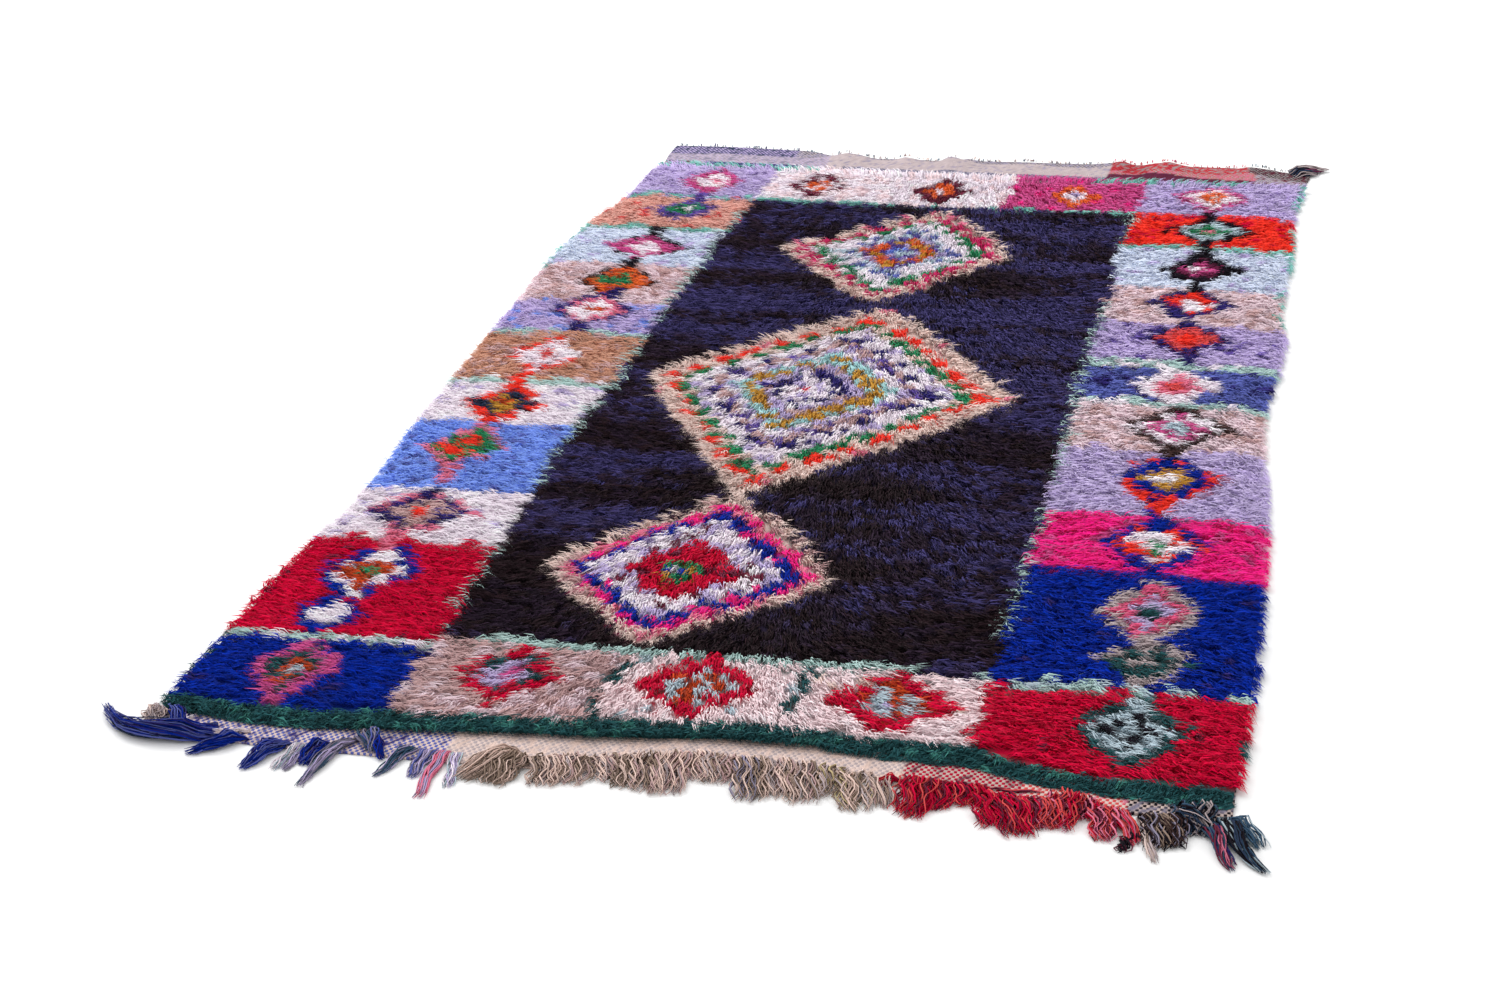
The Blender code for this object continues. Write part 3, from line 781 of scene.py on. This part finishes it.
# Tufts
def knot_places(rng):
    """Places of the pile's knots, in wandering rows across the rug, closer together along the near rim."""
    near, far = NEAR_RIM[1].min() + GREEN_DEPTH, FAR_RIM[1].max() - FAR_INSET + ROW_PITCH
    left, right = LEFT_RIM[1].min(), RIGHT_RIM[1].max()
    rows, columns = int((far - near) / ROW_PITCH), int((right - left) / KNOT_PITCH)
    row, column = np.meshgrid(np.arange(rows), np.arange(columns), indexing="ij")
    x = left + (column + 0.5 * (row % 2)) * KNOT_PITCH + rng.uniform(-0.3, 0.3, row.shape) * KNOT_PITCH
    y = near + row * ROW_PITCH + rng.uniform(-0.2, 0.2, row.shape) * ROW_PITCH
    y = y + 0.004 * wave(x / 0.12, y / 0.3, 31)
    x, y = x.ravel(), y.ravel()
    inside = (y > np.interp(x, *NEAR_RIM) + GREEN_DEPTH) & (y < np.interp(x, *FAR_RIM) - FAR_INSET)
    x, y = x[inside], y[inside]
    rims = [(NEAR_RIM, RIM_PITCH, inset) for inset in RIM_ROWS]
    rims += [(FAR_RIM, KNOT_PITCH, -inset) for inset in FAR_ROWS]
    for rim, pitch, inset in rims:
        rim_x = np.arange(left, right, pitch)
        rim_x = rim_x + rng.uniform(-0.4, 0.4, len(rim_x)) * pitch
        x = np.append(x, rim_x)
        y = np.append(y, np.interp(rim_x, *rim) + inset + rng.uniform(-0.003, 0.003, len(rim_x)))
    inside = (x > np.interp(y, *LEFT_RIM) + SIDE_INSET) & (x < np.interp(y, *RIGHT_RIM) - SIDE_INSET)
    return x[inside], y[inside]


def lay(x, y):
    """Direction in which each knot's strands lie: outwards, towards the near end, and swirling."""
    side = np.clip(x / 0.38, -1, 1)
    along_x = side + 0.30 * wave(x * 7, y * 7, 41) + 0.16 * wave(x * 22, y * 22, 42)
    along_y = -0.24 - 0.60 * (1 - np.abs(side)) + 0.26 * wave(x * 7 + 3, y * 7, 43)
    along_y = along_y + 0.16 * wave(x * 22 + 3, y * 22, 44)
    hanging = y - np.interp(x, *NEAR_RIM) < GREEN_DEPTH
    along_x = np.where(hanging, RIM_LEAN[0] + 0.25 * wave(x * 16, y * 0, 45), along_x)
    along_y = np.where(hanging, RIM_LEAN[1], along_y)
    along_y = np.where(np.interp(x, *FAR_RIM) - y < FAR_TURN, FAR_LEAN, along_y)
    length = np.hypot(along_x, along_y)
    return along_x / length, along_y / length


def splay(x, y, along_x, along_y, outline, rng):
    """The directions, turned a little at random, and outwards in the medallions' wiry outlines."""
    for index, medallion in enumerate(MEDALLIONS):
        on = outline == index
        out_x, out_y = x[on] - medallion.x, y[on] - medallion.y
        away = np.hypot(out_x, out_y) + 1e-6
        along_x[on] = 0.7 * along_x[on] + 0.8 * out_x / away
        along_y[on] = 0.7 * along_y[on] + 0.5 * out_y / away
    turn = rng.normal(0, 0.14, len(x)) + np.where(outline >= 0, rng.normal(0, 0.4, len(x)), 0)
    angle = np.arctan2(along_y, along_x) + turn
    return np.cos(angle), np.sin(angle)


def strand_mesh(name, root, middle, tip, width, roll, colours):
    """One mesh of many strands, each a slim blade bent at its middle and rolled about its own length, with
    colours for its root, middle and tip."""
    count = len(root)
    forward = tip - root
    forward[:, 2] = 0
    forward /= np.linalg.norm(forward, axis=1)[:, None] + 1e-9
    side = np.stack([forward[:, 1], -forward[:, 0], np.zeros(count)], 1)
    half = side * (width * np.cos(roll))[:, None] + UP * (width * np.sin(roll))[:, None]
    points = np.stack([root, middle - half, middle + half, tip], 1)
    corners = np.array([(0, 2, 1), (1, 2, 3)]).ravel()
    start = (np.arange(count) * 4)[:, None]
    mesh = bpy.data.meshes.new(name)
    mesh.vertices.add(count * 4)
    mesh.vertices.foreach_set("co", points.ravel())
    mesh.loops.add(count * len(corners))
    mesh.loops.foreach_set("vertex_index", (corners[None] + start).ravel())
    faces = count * len(corners) // 3
    mesh.polygons.add(faces)
    mesh.polygons.foreach_set("loop_start", np.arange(faces) * 3)
    mesh.polygons.foreach_set("use_smooth", np.ones(faces, bool))
    mesh.update(calc_edges=True)
    ring_of = np.array([0, 1, 1, 2])
    paint(mesh, colours[:, ring_of].reshape(-1, 3))
    return mesh


def paint(mesh, colours, name="yarn"):
    """Stores a colour for each point."""
    layer = mesh.color_attributes.new(name, "FLOAT_COLOR", "POINT")
    full = np.concatenate([colours, np.ones((len(colours), 1))], 1)
    layer.data.foreach_set("color", full.astype(np.float32).ravel())


def add_piece(name, mesh, material, slot, *nodes):
    """Links a mesh as a piece of the rug, with its material, and hides the nodes it stands for. The slot
    argument is not used.
    """
    piece = bpy.data.objects.new(name, mesh)
    bpy.context.scene.collection.objects.link(piece)
    mesh.materials.append(material)
    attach(piece, "root")
    if nodes:
        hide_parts(*nodes)
    return piece


def region_of(x, y):
    """Which of the pile's pieces a knot belongs to."""
    left = eased(y, FIELD_EDGES, "y", "left")
    right = eased(y, FIELD_EDGES, "y", "right")
    region = np.where(y > 0, "pile_field_far", "pile_field_near").astype(object)
    region[y > FIELD_FAR] = "pile_far_border"
    region[y < FIELD_NEAR] = "pile_near_border"
    region[x < left] = "pile_left_border"
    region[x > right] = "pile_right_border"
    return region


def build_tufts(material):
    """The knotted pile as brushed strands, in one piece for each part of the chart."""
    rng = np.random.default_rng(5)
    x, y = knot_places(rng)
    dir_x, dir_y = lay(x, y)
    shown_x, shown_y = shown(x, y, REACH * dir_x, REACH * dir_y)
    codes, outline, beside = chart(x, y, shown_x, shown_y, rng)
    dir_x, dir_y = splay(x, y, dir_x, dir_y, outline, rng)
    knots = len(x)
    wiry = outline >= 0
    hanging = y - np.interp(x, *NEAR_RIM) < GREEN_DEPTH
    reach = np.where(hanging, RIM_REACH, REACH + REACH_SPREAD * rng.uniform(-1, 1, knots))
    reach = reach * np.where(wiry, WIRY_REACH, 1.0)
    shade = 1 + 0.08 * wave(x * 30, y * 30, 51) + 0.05 * rng.uniform(-1, 1, knots)

    # The tips of neighbouring knots draw together into locks
    tip_x, tip_y = x + dir_x * reach, y + dir_y * reach
    lock_x = (np.floor(x / LOCK_PITCH + 0.3 * wave(x * 9, y * 20, 52)) + 0.5) * LOCK_PITCH
    tip_x = tip_x + np.where(wiry | hanging, 0.1, LOCK_PULL) * (lock_x - x)

    region = region_of(shown_x, shown_y)
    each = np.repeat(np.arange(knots), STRANDS)
    total = len(each)
    root = np.stack([
        x[each] + ROOT_SPREAD[0] * rng.uniform(-1, 1, total),
        y[each] + ROOT_SPREAD[1] * rng.uniform(-1, 1, total),
        np.full(total, ROOT_Z),
    ], 1)
    spread = np.where(wiry[each], WIRY_SPREAD, 1.0) * TIP_SPREAD
    length = rng.uniform(*STRAND_LENGTHS, total)
    tip = np.stack([
        root[:, 0] * 0.35 + x[each] * 0.65 + (tip_x - x)[each] * length + spread * rng.normal(0, 0.55, total),
        root[:, 1] * 0.35 + y[each] * 0.65 + (tip_y - y)[each] * length + spread * rng.normal(0, 0.55, total),
        np.zeros(total),
    ], 1)
    left_slack, right_slack = rng.uniform(*LEFT_SLACK, total), rng.uniform(*RIGHT_SLACK, total)
    tip[:, 0] = np.maximum(tip[:, 0], np.interp(tip[:, 1], *LEFT_RIM) + left_slack)
    tip[:, 0] = np.minimum(tip[:, 0], np.interp(tip[:, 1], *RIGHT_RIM) - right_slack)
    ragged = rng.uniform(*NEAR_SLACK, total) + NEAR_WAVE * wave(tip[:, 0] / 0.022, tip[:, 0] * 0, 53)
    tip[:, 1] = np.maximum(tip[:, 1], np.interp(tip[:, 0], *NEAR_RIM) + ragged)
    tip[:, 1] = np.minimum(tip[:, 1], np.interp(tip[:, 0], *FAR_RIM) + FAR_SLACK)

    top = PILE_TOP(x, y)
    top = np.where(np.interp(x, *FAR_RIM) - y < FAR_TURN, np.maximum(top, FAR_HEIGHT), top)[each]
    standing = rng.random(total) < np.where(wiry[each], WIRY_STANDING_SHARE, STANDING_SHARE)
    middle = root + MID_SHARE * (tip - root)
    middle[:, 2] = top * rng.uniform(*MIDDLE_HEIGHTS, total)
    tip_top = np.maximum(PILE_TOP(tip[:, 0], tip[:, 1]), 0.8 * top * (dir_y[each] > 0.3))
    tip[:, 2] = tip_top * rng.uniform(*TIP_HEIGHTS, total)
    tip[standing, 2] = top[standing] + rng.uniform(0.0, STANDING_RISE, standing.sum())
    tip[:, 2] = np.maximum(tip[:, 2], LOWEST_TIP)
    middle[:, 2] = np.maximum(middle[:, 2], tip[:, 2] * 0.8 + 0.002)

    strand_codes = codes[each]
    strand_codes[beside[each] & (rng.random(total) < SIDE_LINE_SHARE)] = CODE["mint"]
    yarn = PALETTE[strand_codes]
    grey = yarn.mean(1, keepdims=True)
    light = np.clip(grey / LIGHT_YARN, 0, 1)
    vary = DARK_VARY + light[:, 0] * (LIGHT_VARY - DARK_VARY)
    strand_shade = shade[each] * (1 + vary * rng.uniform(-1, 1, total))
    fade = 0.04 * rng.uniform(-1, 1, total)[:, None]
    yarn = np.clip(yarn * strand_shade[:, None] * (1 - fade) + grey * fade, 0, 1)
    # Painted shade darkens each strand's root, and a painted highlight lightens its tip
    root_shade = DARK_YARN_ROOT_SHADE + light * (LIGHT_YARN_ROOT_SHADE - DARK_YARN_ROOT_SHADE)
    rings = np.stack([yarn * root_shade, yarn * MIDDLE_SHADE, np.clip(yarn * TIP_HIGHLIGHT, 0, 1)], 1)
    width = STRAND_WIDTH * rng.uniform(0.7, 1.3, total)
    roll = ROLL * rng.uniform(-1, 1, total)

    pieces = []
    for name in sorted(set(region)):
        chosen = region[each] == name
        mesh = strand_mesh(
            name, root[chosen], middle[chosen], tip[chosen], width[chosen], roll[chosen], rings[chosen]
        )
        pieces.append(add_piece(name, mesh, material, "pile"))
    return pieces


# Beds and cloth
def grid_slab(name, top, bottom_z, columns, rows):
    """A closed slab from a grid of top points, indexed by column and row, and its own footprint."""
    bottom = top.copy()
    bottom[:, 2] = bottom_z
    count = columns * rows
    points = np.concatenate([top, bottom])
    column, row = np.meshgrid(np.arange(columns - 1), np.arange(rows - 1), indexing="ij")
    first = (column * rows + row).ravel()
    up = np.stack([first, first + rows, first + rows + 1, first + 1], 1)
    down = up[:, ::-1] + count
    ring = [c * rows for c in range(columns)]
    ring += [(columns - 1) * rows + r for r in range(1, rows)]
    ring += [c * rows + rows - 1 for c in range(columns - 2, -1, -1)]
    ring += [r for r in range(rows - 2, 0, -1)]
    ring = np.array(ring)
    after = np.roll(ring, -1)
    walls = np.stack([ring + count, after + count, after, ring], 1)
    mesh = bpy.data.meshes.new(name)
    mesh.from_pydata(points.tolist(), [], np.concatenate([up, down, walls]).tolist())
    mesh.polygons.foreach_set("use_smooth", np.ones(len(mesh.polygons), bool))
    mesh.update()
    return mesh


def build_bed(material):
    """What shows between the tufts: a lower bed in the same colours, darkened as painted shade between the
    tufts.
    """
    columns = int((RIGHT_RIM[1].max() - LEFT_RIM[1].min()) / BED_STEP)
    rows = int((FAR_RIM[1].max() - NEAR_RIM[1].min()) / BED_STEP)
    u, v = np.meshgrid(np.linspace(0, 1, columns), np.linspace(0, 1, rows), indexing="ij")
    u, v = u.ravel(), v.ravel()
    middle_x = np.interp(0, *LEFT_RIM) * (1 - u) + np.interp(0, *RIGHT_RIM) * u
    near = np.interp(middle_x, *NEAR_RIM) + SIDE_INSET
    far = np.interp(middle_x, *FAR_RIM) - BED_INSET
    y = near + v * (far - near)
    left, right = np.interp(y, *LEFT_RIM) + SIDE_INSET, np.interp(y, *RIGHT_RIM) - SIDE_INSET
    x = left + u * (right - left)
    rng = np.random.default_rng(6)
    z = PILE_TOP(x, y) * BED_SHARE + rng.uniform(-0.001, 0.001, len(x))
    codes = chart(x, y, *shown(x, y, 0, 0), rng)[0]
    # Painted shade: the bed is darker than the tufts' own yarns
    colours = PALETTE[codes] * BED_SHADE
    floor_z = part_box("pile")[0][2] + 0.0032
    mesh = grid_slab("pile_bed", np.stack([x, y, np.maximum(z, floor_z + 0.002)], 1), floor_z, columns, rows)
    paint(mesh, np.concatenate([colours, colours]))
    return add_piece("pile_bed", mesh, material, "pile", "pile")


def zone_colours(x, y, column):
    """Colour of the flat weave's warp or weft at its points."""
    rng = np.random.default_rng(11)
    chance = rng.random(len(x))
    colours = np.zeros((len(x), 3))
    for zone in ZONES:
        shift = zone.lean * (x - zone.left)
        inside = (x > zone.left) & (x <= zone.right) & (y > zone.near + shift) & (y <= zone.far + shift)
        # Each zone's shade column darkens its warp, weft and specks, in part as painted shade
        colours[inside] = linear(getattr(zone, column)) * zone.shade
        colours[inside & (chance < zone.speck_share)] = linear(zone.speck) * zone.shade
    return colours * rng.uniform(0.85, 1.08, len(x))[:, None]


def build_ground(material):
    """The woven ground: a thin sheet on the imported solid, which shows at both ends and at the selvedges."""
    shares = []
    for start, end, count in zip(GROUND_SHARES, GROUND_SHARES[1:], GROUND_ROWS):
        shares += list(np.linspace(start, end, count, endpoint=False))
    shares.append(1.0)
    rows = len(shares)
    low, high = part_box("ground_weave")
    left_edge = outermost("ground_weave", 1, 0, -1)
    right_edge = outermost("ground_weave", 1, 0, 1)
    u, v = np.meshgrid(np.linspace(0, 1, GROUND_COLUMNS), shares, indexing="ij")
    u, v = u.ravel(), v.ravel()
    middle_x = low[0] + u * (high[0] - low[0])
    near, far = np.interp(middle_x, *NEAR_WEAVE), np.interp(middle_x, *FAR_WEAVE)
    y = near + v * (far - near)
    x = np.interp(y, *left_edge) * (1 - u) + np.interp(y, *right_edge) * u
    at_ends = np.abs(v - 0.5) > 0.495
    y = y + EDGE_FRAY * wave(x / 0.011, y / 0.5, 61) * at_ends
    z = np.maximum(GROUND_TOP(x, y), GROUND_LOWEST)
    z = z + GROUND_RELIEF * np.sin(2 * np.pi * x / WARP_PITCH) * np.sin(np.pi * y / WEFT_PITCH)
    top = np.stack([x, y, z], 1)
    bottom_z = np.maximum(z - GROUND_THICKNESS, 0.0)
    mesh = grid_slab("ground_cloth", top, bottom_z, GROUND_COLUMNS, rows)
    for column in ("warp", "weft"):
        colours = zone_colours(x, y, column)
        paint(mesh, np.concatenate([colours, colours]), column)
    return add_piece("ground_cloth", mesh, material, "ground_weave", "ground_weave")


# Yarns
def tube_mesh(name, paths, radii, colours):
    """One mesh of many yarns, each a tube along its own path with pointed ends."""
    points, faces, tints = [], [], []
    for path, radius, colour in zip(paths, radii, colours):
        rings = len(path)
        tangent = np.gradient(path, axis=0)
        tangent /= np.linalg.norm(tangent, axis=1)[:, None] + 1e-9
        side = np.cross(tangent, (0.0, 0.0, 1.0))
        side /= np.linalg.norm(side, axis=1)[:, None] + 1e-9
        up = np.cross(side, tangent)
        thick = radius * np.minimum(1, 0.35 + 3.0 * (1 - np.linspace(0, 1, rings)))[:, None]
        base = len(points)
        for angle in np.linspace(0, 2 * np.pi, YARN_SIDES, endpoint=False):
            ring = path + thick * (math.cos(angle) * side + math.sin(angle) * up)
            points.extend(ring.tolist())
            tints.extend([colour] * rings)
        for turn in range(YARN_SIDES):
            a, b = base + turn * rings, base + (turn + 1) % YARN_SIDES * rings
            faces.extend((a + i, b + i, b + i + 1, a + i + 1) for i in range(rings - 1))
        faces.append([base + turn * rings for turn in range(YARN_SIDES)][::-1])
        faces.append([base + turn * rings + rings - 1 for turn in range(YARN_SIDES)])
    mesh = bpy.data.meshes.new(name)
    mesh.from_pydata(points, [], faces)
    mesh.polygons.foreach_set("use_smooth", np.ones(len(mesh.polygons), bool))
    mesh.update()
    paint(mesh, np.array(tints))
    return mesh


def lock_yarns(lock, rng):
    """Paths, radii and colours of the yarns of one lock."""
    kind = KINDS[lock.kind]
    shares = np.linspace(0, 1, YARN_RINGS)
    s = shares[:, None]
    start, tip = np.array([lock.x, lock.y + ROOT_BACK]), np.array([lock.tip_x, lock.tip_y])
    along = (tip - start) / np.linalg.norm(tip - start)
    control = (start + tip) / 2 + 2 * lock.bend * np.array([-along[1], along[0]])
    phase = rng.uniform(0, 2 * np.pi)
    paths, radii, colours = [], [], []
    widen = WIDEN if lock.kind == "curl" else 1.0
    for _ in range(int(THICKET * widen * lock.count)):
        long = 1 - kind.ragged * rng.random()
        reach = s * long
        spine = (1 - reach) ** 2 * start + 2 * reach * (1 - reach) * control + reach ** 2 * tip
        tangent = np.gradient(spine, axis=0)
        across = np.stack([-tangent[:, 1], tangent[:, 0]], 1)
        across /= np.linalg.norm(across, axis=1)[:, None] + 1e-9
        turn, disc = rng.uniform(0, 2 * np.pi), math.sqrt(rng.random())
        angle = turn + 2 * np.pi * kind.twist * shares
        aside, high = disc * np.cos(angle), disc * np.sin(angle)
        half = widen * (lock.width * (1 - shares) + lock.tip_width * shares) / 2
        swell = smooth(shares * 4) * (1 - 0.75 * smooth((shares - 0.45) / 0.55))
        swing = 2 * np.pi * kind.turns * rng.uniform(0.8, 1.25) * shares + phase + rng.normal(0, 0.8)
        sway = kind.wave * np.sin(swing) * smooth(shares * 3) + 0.0016 * rng.normal() * shares
        line = np.zeros((YARN_RINGS, 3))
        line[:, :2] = spine + across * (aside * half + sway)[:, None]
        on_cloth = line[:, 1] > np.interp(line[:, 0], *NEAR_WEAVE)
        rest = np.where(on_cloth, WEAVE_TOP, 0.0) + YARN_RADIUS
        lift = lock.heap * (0.5 + 0.5 * high) * swell
        line[:, 2] = rest + lift + 0.4 * kind.wave * np.cos(swing) * swell
        line[:, 2] = np.maximum(line[:, 2], YARN_RADIUS)
        paths.append(line)
        radii.append(YARN_RADIUS * rng.uniform(0.75, 1.3))
        yarn = lock.yarns[rng.integers(len(lock.yarns))]
        # Painted shade: yarns low in the lock are darker, and those on top lighter
        colours.append(linear(yarn) * rng.uniform(0.70, 1.12) * (0.86 + 0.14 * high[0]))
    return paths, radii, colours


def build_fringe(material):
    """The loose warp ends along the near edge, and the tassel at the far right corner."""
    rng = np.random.default_rng(8)
    pieces = []
    for node, locks in LOCKS.items():
        paths, radii, colours = [], [], []
        for row in locks:
            found_yarns = lock_yarns(metres(row, Lock, LOCK_LENGTHS), rng)
            for found, more in zip((paths, radii, colours), found_yarns):
                found.extend(more)
        mesh = tube_mesh(node + "_yarns", paths, radii, colours)
        pieces.append(add_piece(node + "_yarns", mesh, material, WARP_SLOTS[node], node))
    return pieces


def build_loops(material):
    """Small loops of warp that stick out along the far edge."""
    rng = np.random.default_rng(9)
    paths, colours = [], []
    turn = np.linspace(0, np.pi, LOOP_RINGS)
    for x in rng.uniform(FAR_WEAVE[0][0], FAR_WEAVE[0][-1], LOOPS):
        edge = np.interp(x, *FAR_WEAVE)
        width = rng.uniform(-LOOP_WIDTH, LOOP_WIDTH)
        depth, height = rng.uniform(*LOOP_REACH, 2)
        path = np.stack([
            x + width * (1 - np.cos(turn)) / 2,
            edge - 0.003 + depth * np.sin(turn),
            GROUND_TOP(np.array([x]), np.array([edge - 0.01]))[0] + height * np.sin(turn),
        ], 1)
        tint = next(tint for tint in LOOP_TINTS if x <= tint.right)
        paths.append(path)
        colours.append(linear(tint.yarns[rng.integers(len(tint.yarns))]) * rng.uniform(0.7, 1.1))
    mesh = tube_mesh("far_edge_loops", paths, [LOOP_RADIUS] * LOOPS, colours)
    return add_piece("far_edge_loops", mesh, material, "warp_cream")


# Materials
def new_material(name, roughness, sheen):
    material = bpy.data.materials.new(name)
    material.use_nodes = True
    shader = material.node_tree.nodes["Principled BSDF"]
    shader.inputs["Roughness"].default_value = roughness
    shader.inputs["Sheen Weight"].default_value = sheen
    shader.inputs["Sheen Roughness"].default_value = 0.5
    shader.inputs["Specular IOR Level"].default_value = 0.05
    return material, shader


def add_node(material, kind, **values):
    node = material.node_tree.nodes.new(kind)
    for name, value in values.items():
        if hasattr(node, name):
            setattr(node, name, value)
        else:
            node.inputs[name.replace("_", " ")].default_value = value
    return node


def yarn_material(name, grain, depth):
    """Fuzzy yarn: the stored colour, mottled at the fibres' scale, with their relief."""
    material, shader = new_material(name, 0.95, 0.02)
    link = material.node_tree.links.new
    colour = add_node(material, "ShaderNodeAttribute", attribute_name="yarn")
    place = add_node(material, "ShaderNodeTexCoord")
    fibres = add_node(material, "ShaderNodeTexNoise", Scale=grain, Detail=3.0, Roughness=0.65)
    tone = add_node(material, "ShaderNodeMapRange")
    tone.inputs["To Min"].default_value, tone.inputs["To Max"].default_value = MOTTLE
    mottled = add_node(material, "ShaderNodeVectorMath", operation="SCALE")
    bump = add_node(material, "ShaderNodeBump", Strength=0.6, Distance=depth)
    link(place.outputs["Object"], fibres.inputs["Vector"])
    link(fibres.outputs["Fac"], tone.inputs["Value"])
    link(colour.outputs["Color"], mottled.inputs[0])
    link(tone.outputs["Result"], mottled.inputs["Scale"])
    link(mottled.outputs["Vector"], shader.inputs["Base Color"])
    link(fibres.outputs["Fac"], bump.inputs["Height"])
    link(bump.outputs["Normal"], shader.inputs["Normal"])
    return material


def weave_material():
    """Flat weave: warp and weft yarns cross in a fine uneven check."""
    material, shader = new_material("flat_weave", 0.9, 0.02)
    link = material.node_tree.links.new
    warp = add_node(material, "ShaderNodeAttribute", attribute_name="warp")
    weft = add_node(material, "ShaderNodeAttribute", attribute_name="weft")
    place = add_node(material, "ShaderNodeTexCoord")
    drift = add_node(material, "ShaderNodeTexNoise", Scale=60.0, Detail=2.0)
    shifted = add_node(material, "ShaderNodeVectorMath", operation="MULTIPLY_ADD")
    shifted.inputs[1].default_value = WEAVE_DRIFT
    axes = add_node(material, "ShaderNodeSeparateXYZ")
    link(place.outputs["Object"], drift.inputs["Vector"])
    link(drift.outputs["Color"], shifted.inputs[0])
    link(place.outputs["Object"], shifted.inputs[2])
    link(shifted.outputs["Vector"], axes.inputs["Vector"])

    def ridges(output, pitch):
        turn = add_node(material, "ShaderNodeMath", operation="MULTIPLY")
        turn.inputs[1].default_value = math.pi / pitch
        sine = add_node(material, "ShaderNodeMath", operation="SINE")
        link(output, turn.inputs[0])
        link(turn.outputs[0], sine.inputs[0])
        return sine.outputs[0]

    cross = add_node(material, "ShaderNodeMath", operation="MULTIPLY")
    link(ridges(axes.outputs["X"], WARP_PITCH), cross.inputs[0])
    link(ridges(axes.outputs["Y"], WEFT_PITCH), cross.inputs[1])
    over = add_node(material, "ShaderNodeMapRange")
    over.inputs["From Min"].default_value, over.inputs["From Max"].default_value = WEAVE_OVER
    link(cross.outputs[0], over.inputs["Value"])
    both = add_node(material, "ShaderNodeMix", data_type="RGBA")
    link(over.outputs["Result"], both.inputs["Factor"])
    link(weft.outputs["Color"], both.inputs[6])
    link(warp.outputs["Color"], both.inputs[7])
    link(both.outputs[2], shader.inputs["Base Color"])
    relief = add_node(material, "ShaderNodeMath", operation="ABSOLUTE")
    bump = add_node(material, "ShaderNodeBump", Strength=0.8, Distance=0.0012)
    link(cross.outputs[0], relief.inputs[0])
    link(relief.outputs[0], bump.inputs["Height"])
    link(bump.outputs["Normal"], shader.inputs["Normal"])
    return material


# Studio
def build_studio():
    """A plain pale floor, soft light from above and the left, and the camera."""
    mesh = bpy.data.meshes.new("studio_floor")
    half = FLOOR_HALF
    mesh.from_pydata(
        [(-half, -half, 0), (half, -half, 0), (half, half, 0), (-half, half, 0)], [], [(0, 1, 2, 3)]
    )
    floor = bpy.data.objects.new("studio_floor", mesh)
    floor.location.z = -FLOOR_DROP
    bpy.context.scene.collection.objects.link(floor)
    material, shader = new_material("studio_floor", 0.7, 0.0)
    shader.inputs["Base Color"].default_value = (FLOOR_TONE, FLOOR_TONE, FLOOR_TONE, 1.0)
    mesh.materials.append(material)

    world = bpy.data.worlds.new("studio_world")
    bpy.context.scene.world = world
    world.use_nodes = True
    background = world.node_tree.nodes["Background"]
    background.inputs["Color"].default_value = (1.0, 1.0, 1.0, 1.0)
    background.inputs["Strength"].default_value = WORLD_STRENGTH

    key = bpy.data.lights.new("studio_key", "AREA")
    key.size, key.energy = KEY_SIZE, KEY_ENERGY
    lamp = bpy.data.objects.new("studio_key", key)
    lamp.location = KEY_PLACE
    lamp.rotation_euler = (-Vector(KEY_PLACE)).to_track_quat("-Z", "Y").to_euler()
    bpy.context.scene.collection.objects.link(lamp)

    data = bpy.data.cameras.new("camera")
    data.lens, data.sensor_width = LENS, SENSOR
    camera = bpy.data.objects.new("camera", data)
    camera.matrix_world = (
        Matrix.Translation(CAMERA_PLACE)
        @ Matrix.Rotation(math.radians(CAMERA_YAW), 4, "Z")
        @ Matrix.Rotation(math.radians(CAMERA_PITCH), 4, "X")
        @ Matrix.Rotation(math.radians(CAMERA_ROLL), 4, "Z")
    )
    bpy.context.scene.collection.objects.link(camera)
    bpy.context.scene.camera = camera
    bpy.context.scene.view_settings.view_transform = "Standard"


def main():
    build_studio()
    tuft = yarn_material("tuft_yarn", 900.0, 0.0012)
    bed = build_bed(tuft)
    tufts = build_tufts(tuft)
    ground = build_ground(weave_material())
    warp = yarn_material("warp_yarn", 1400.0, 0.0008)
    fringe = build_fringe(warp)
    loops = build_loops(warp)


main()
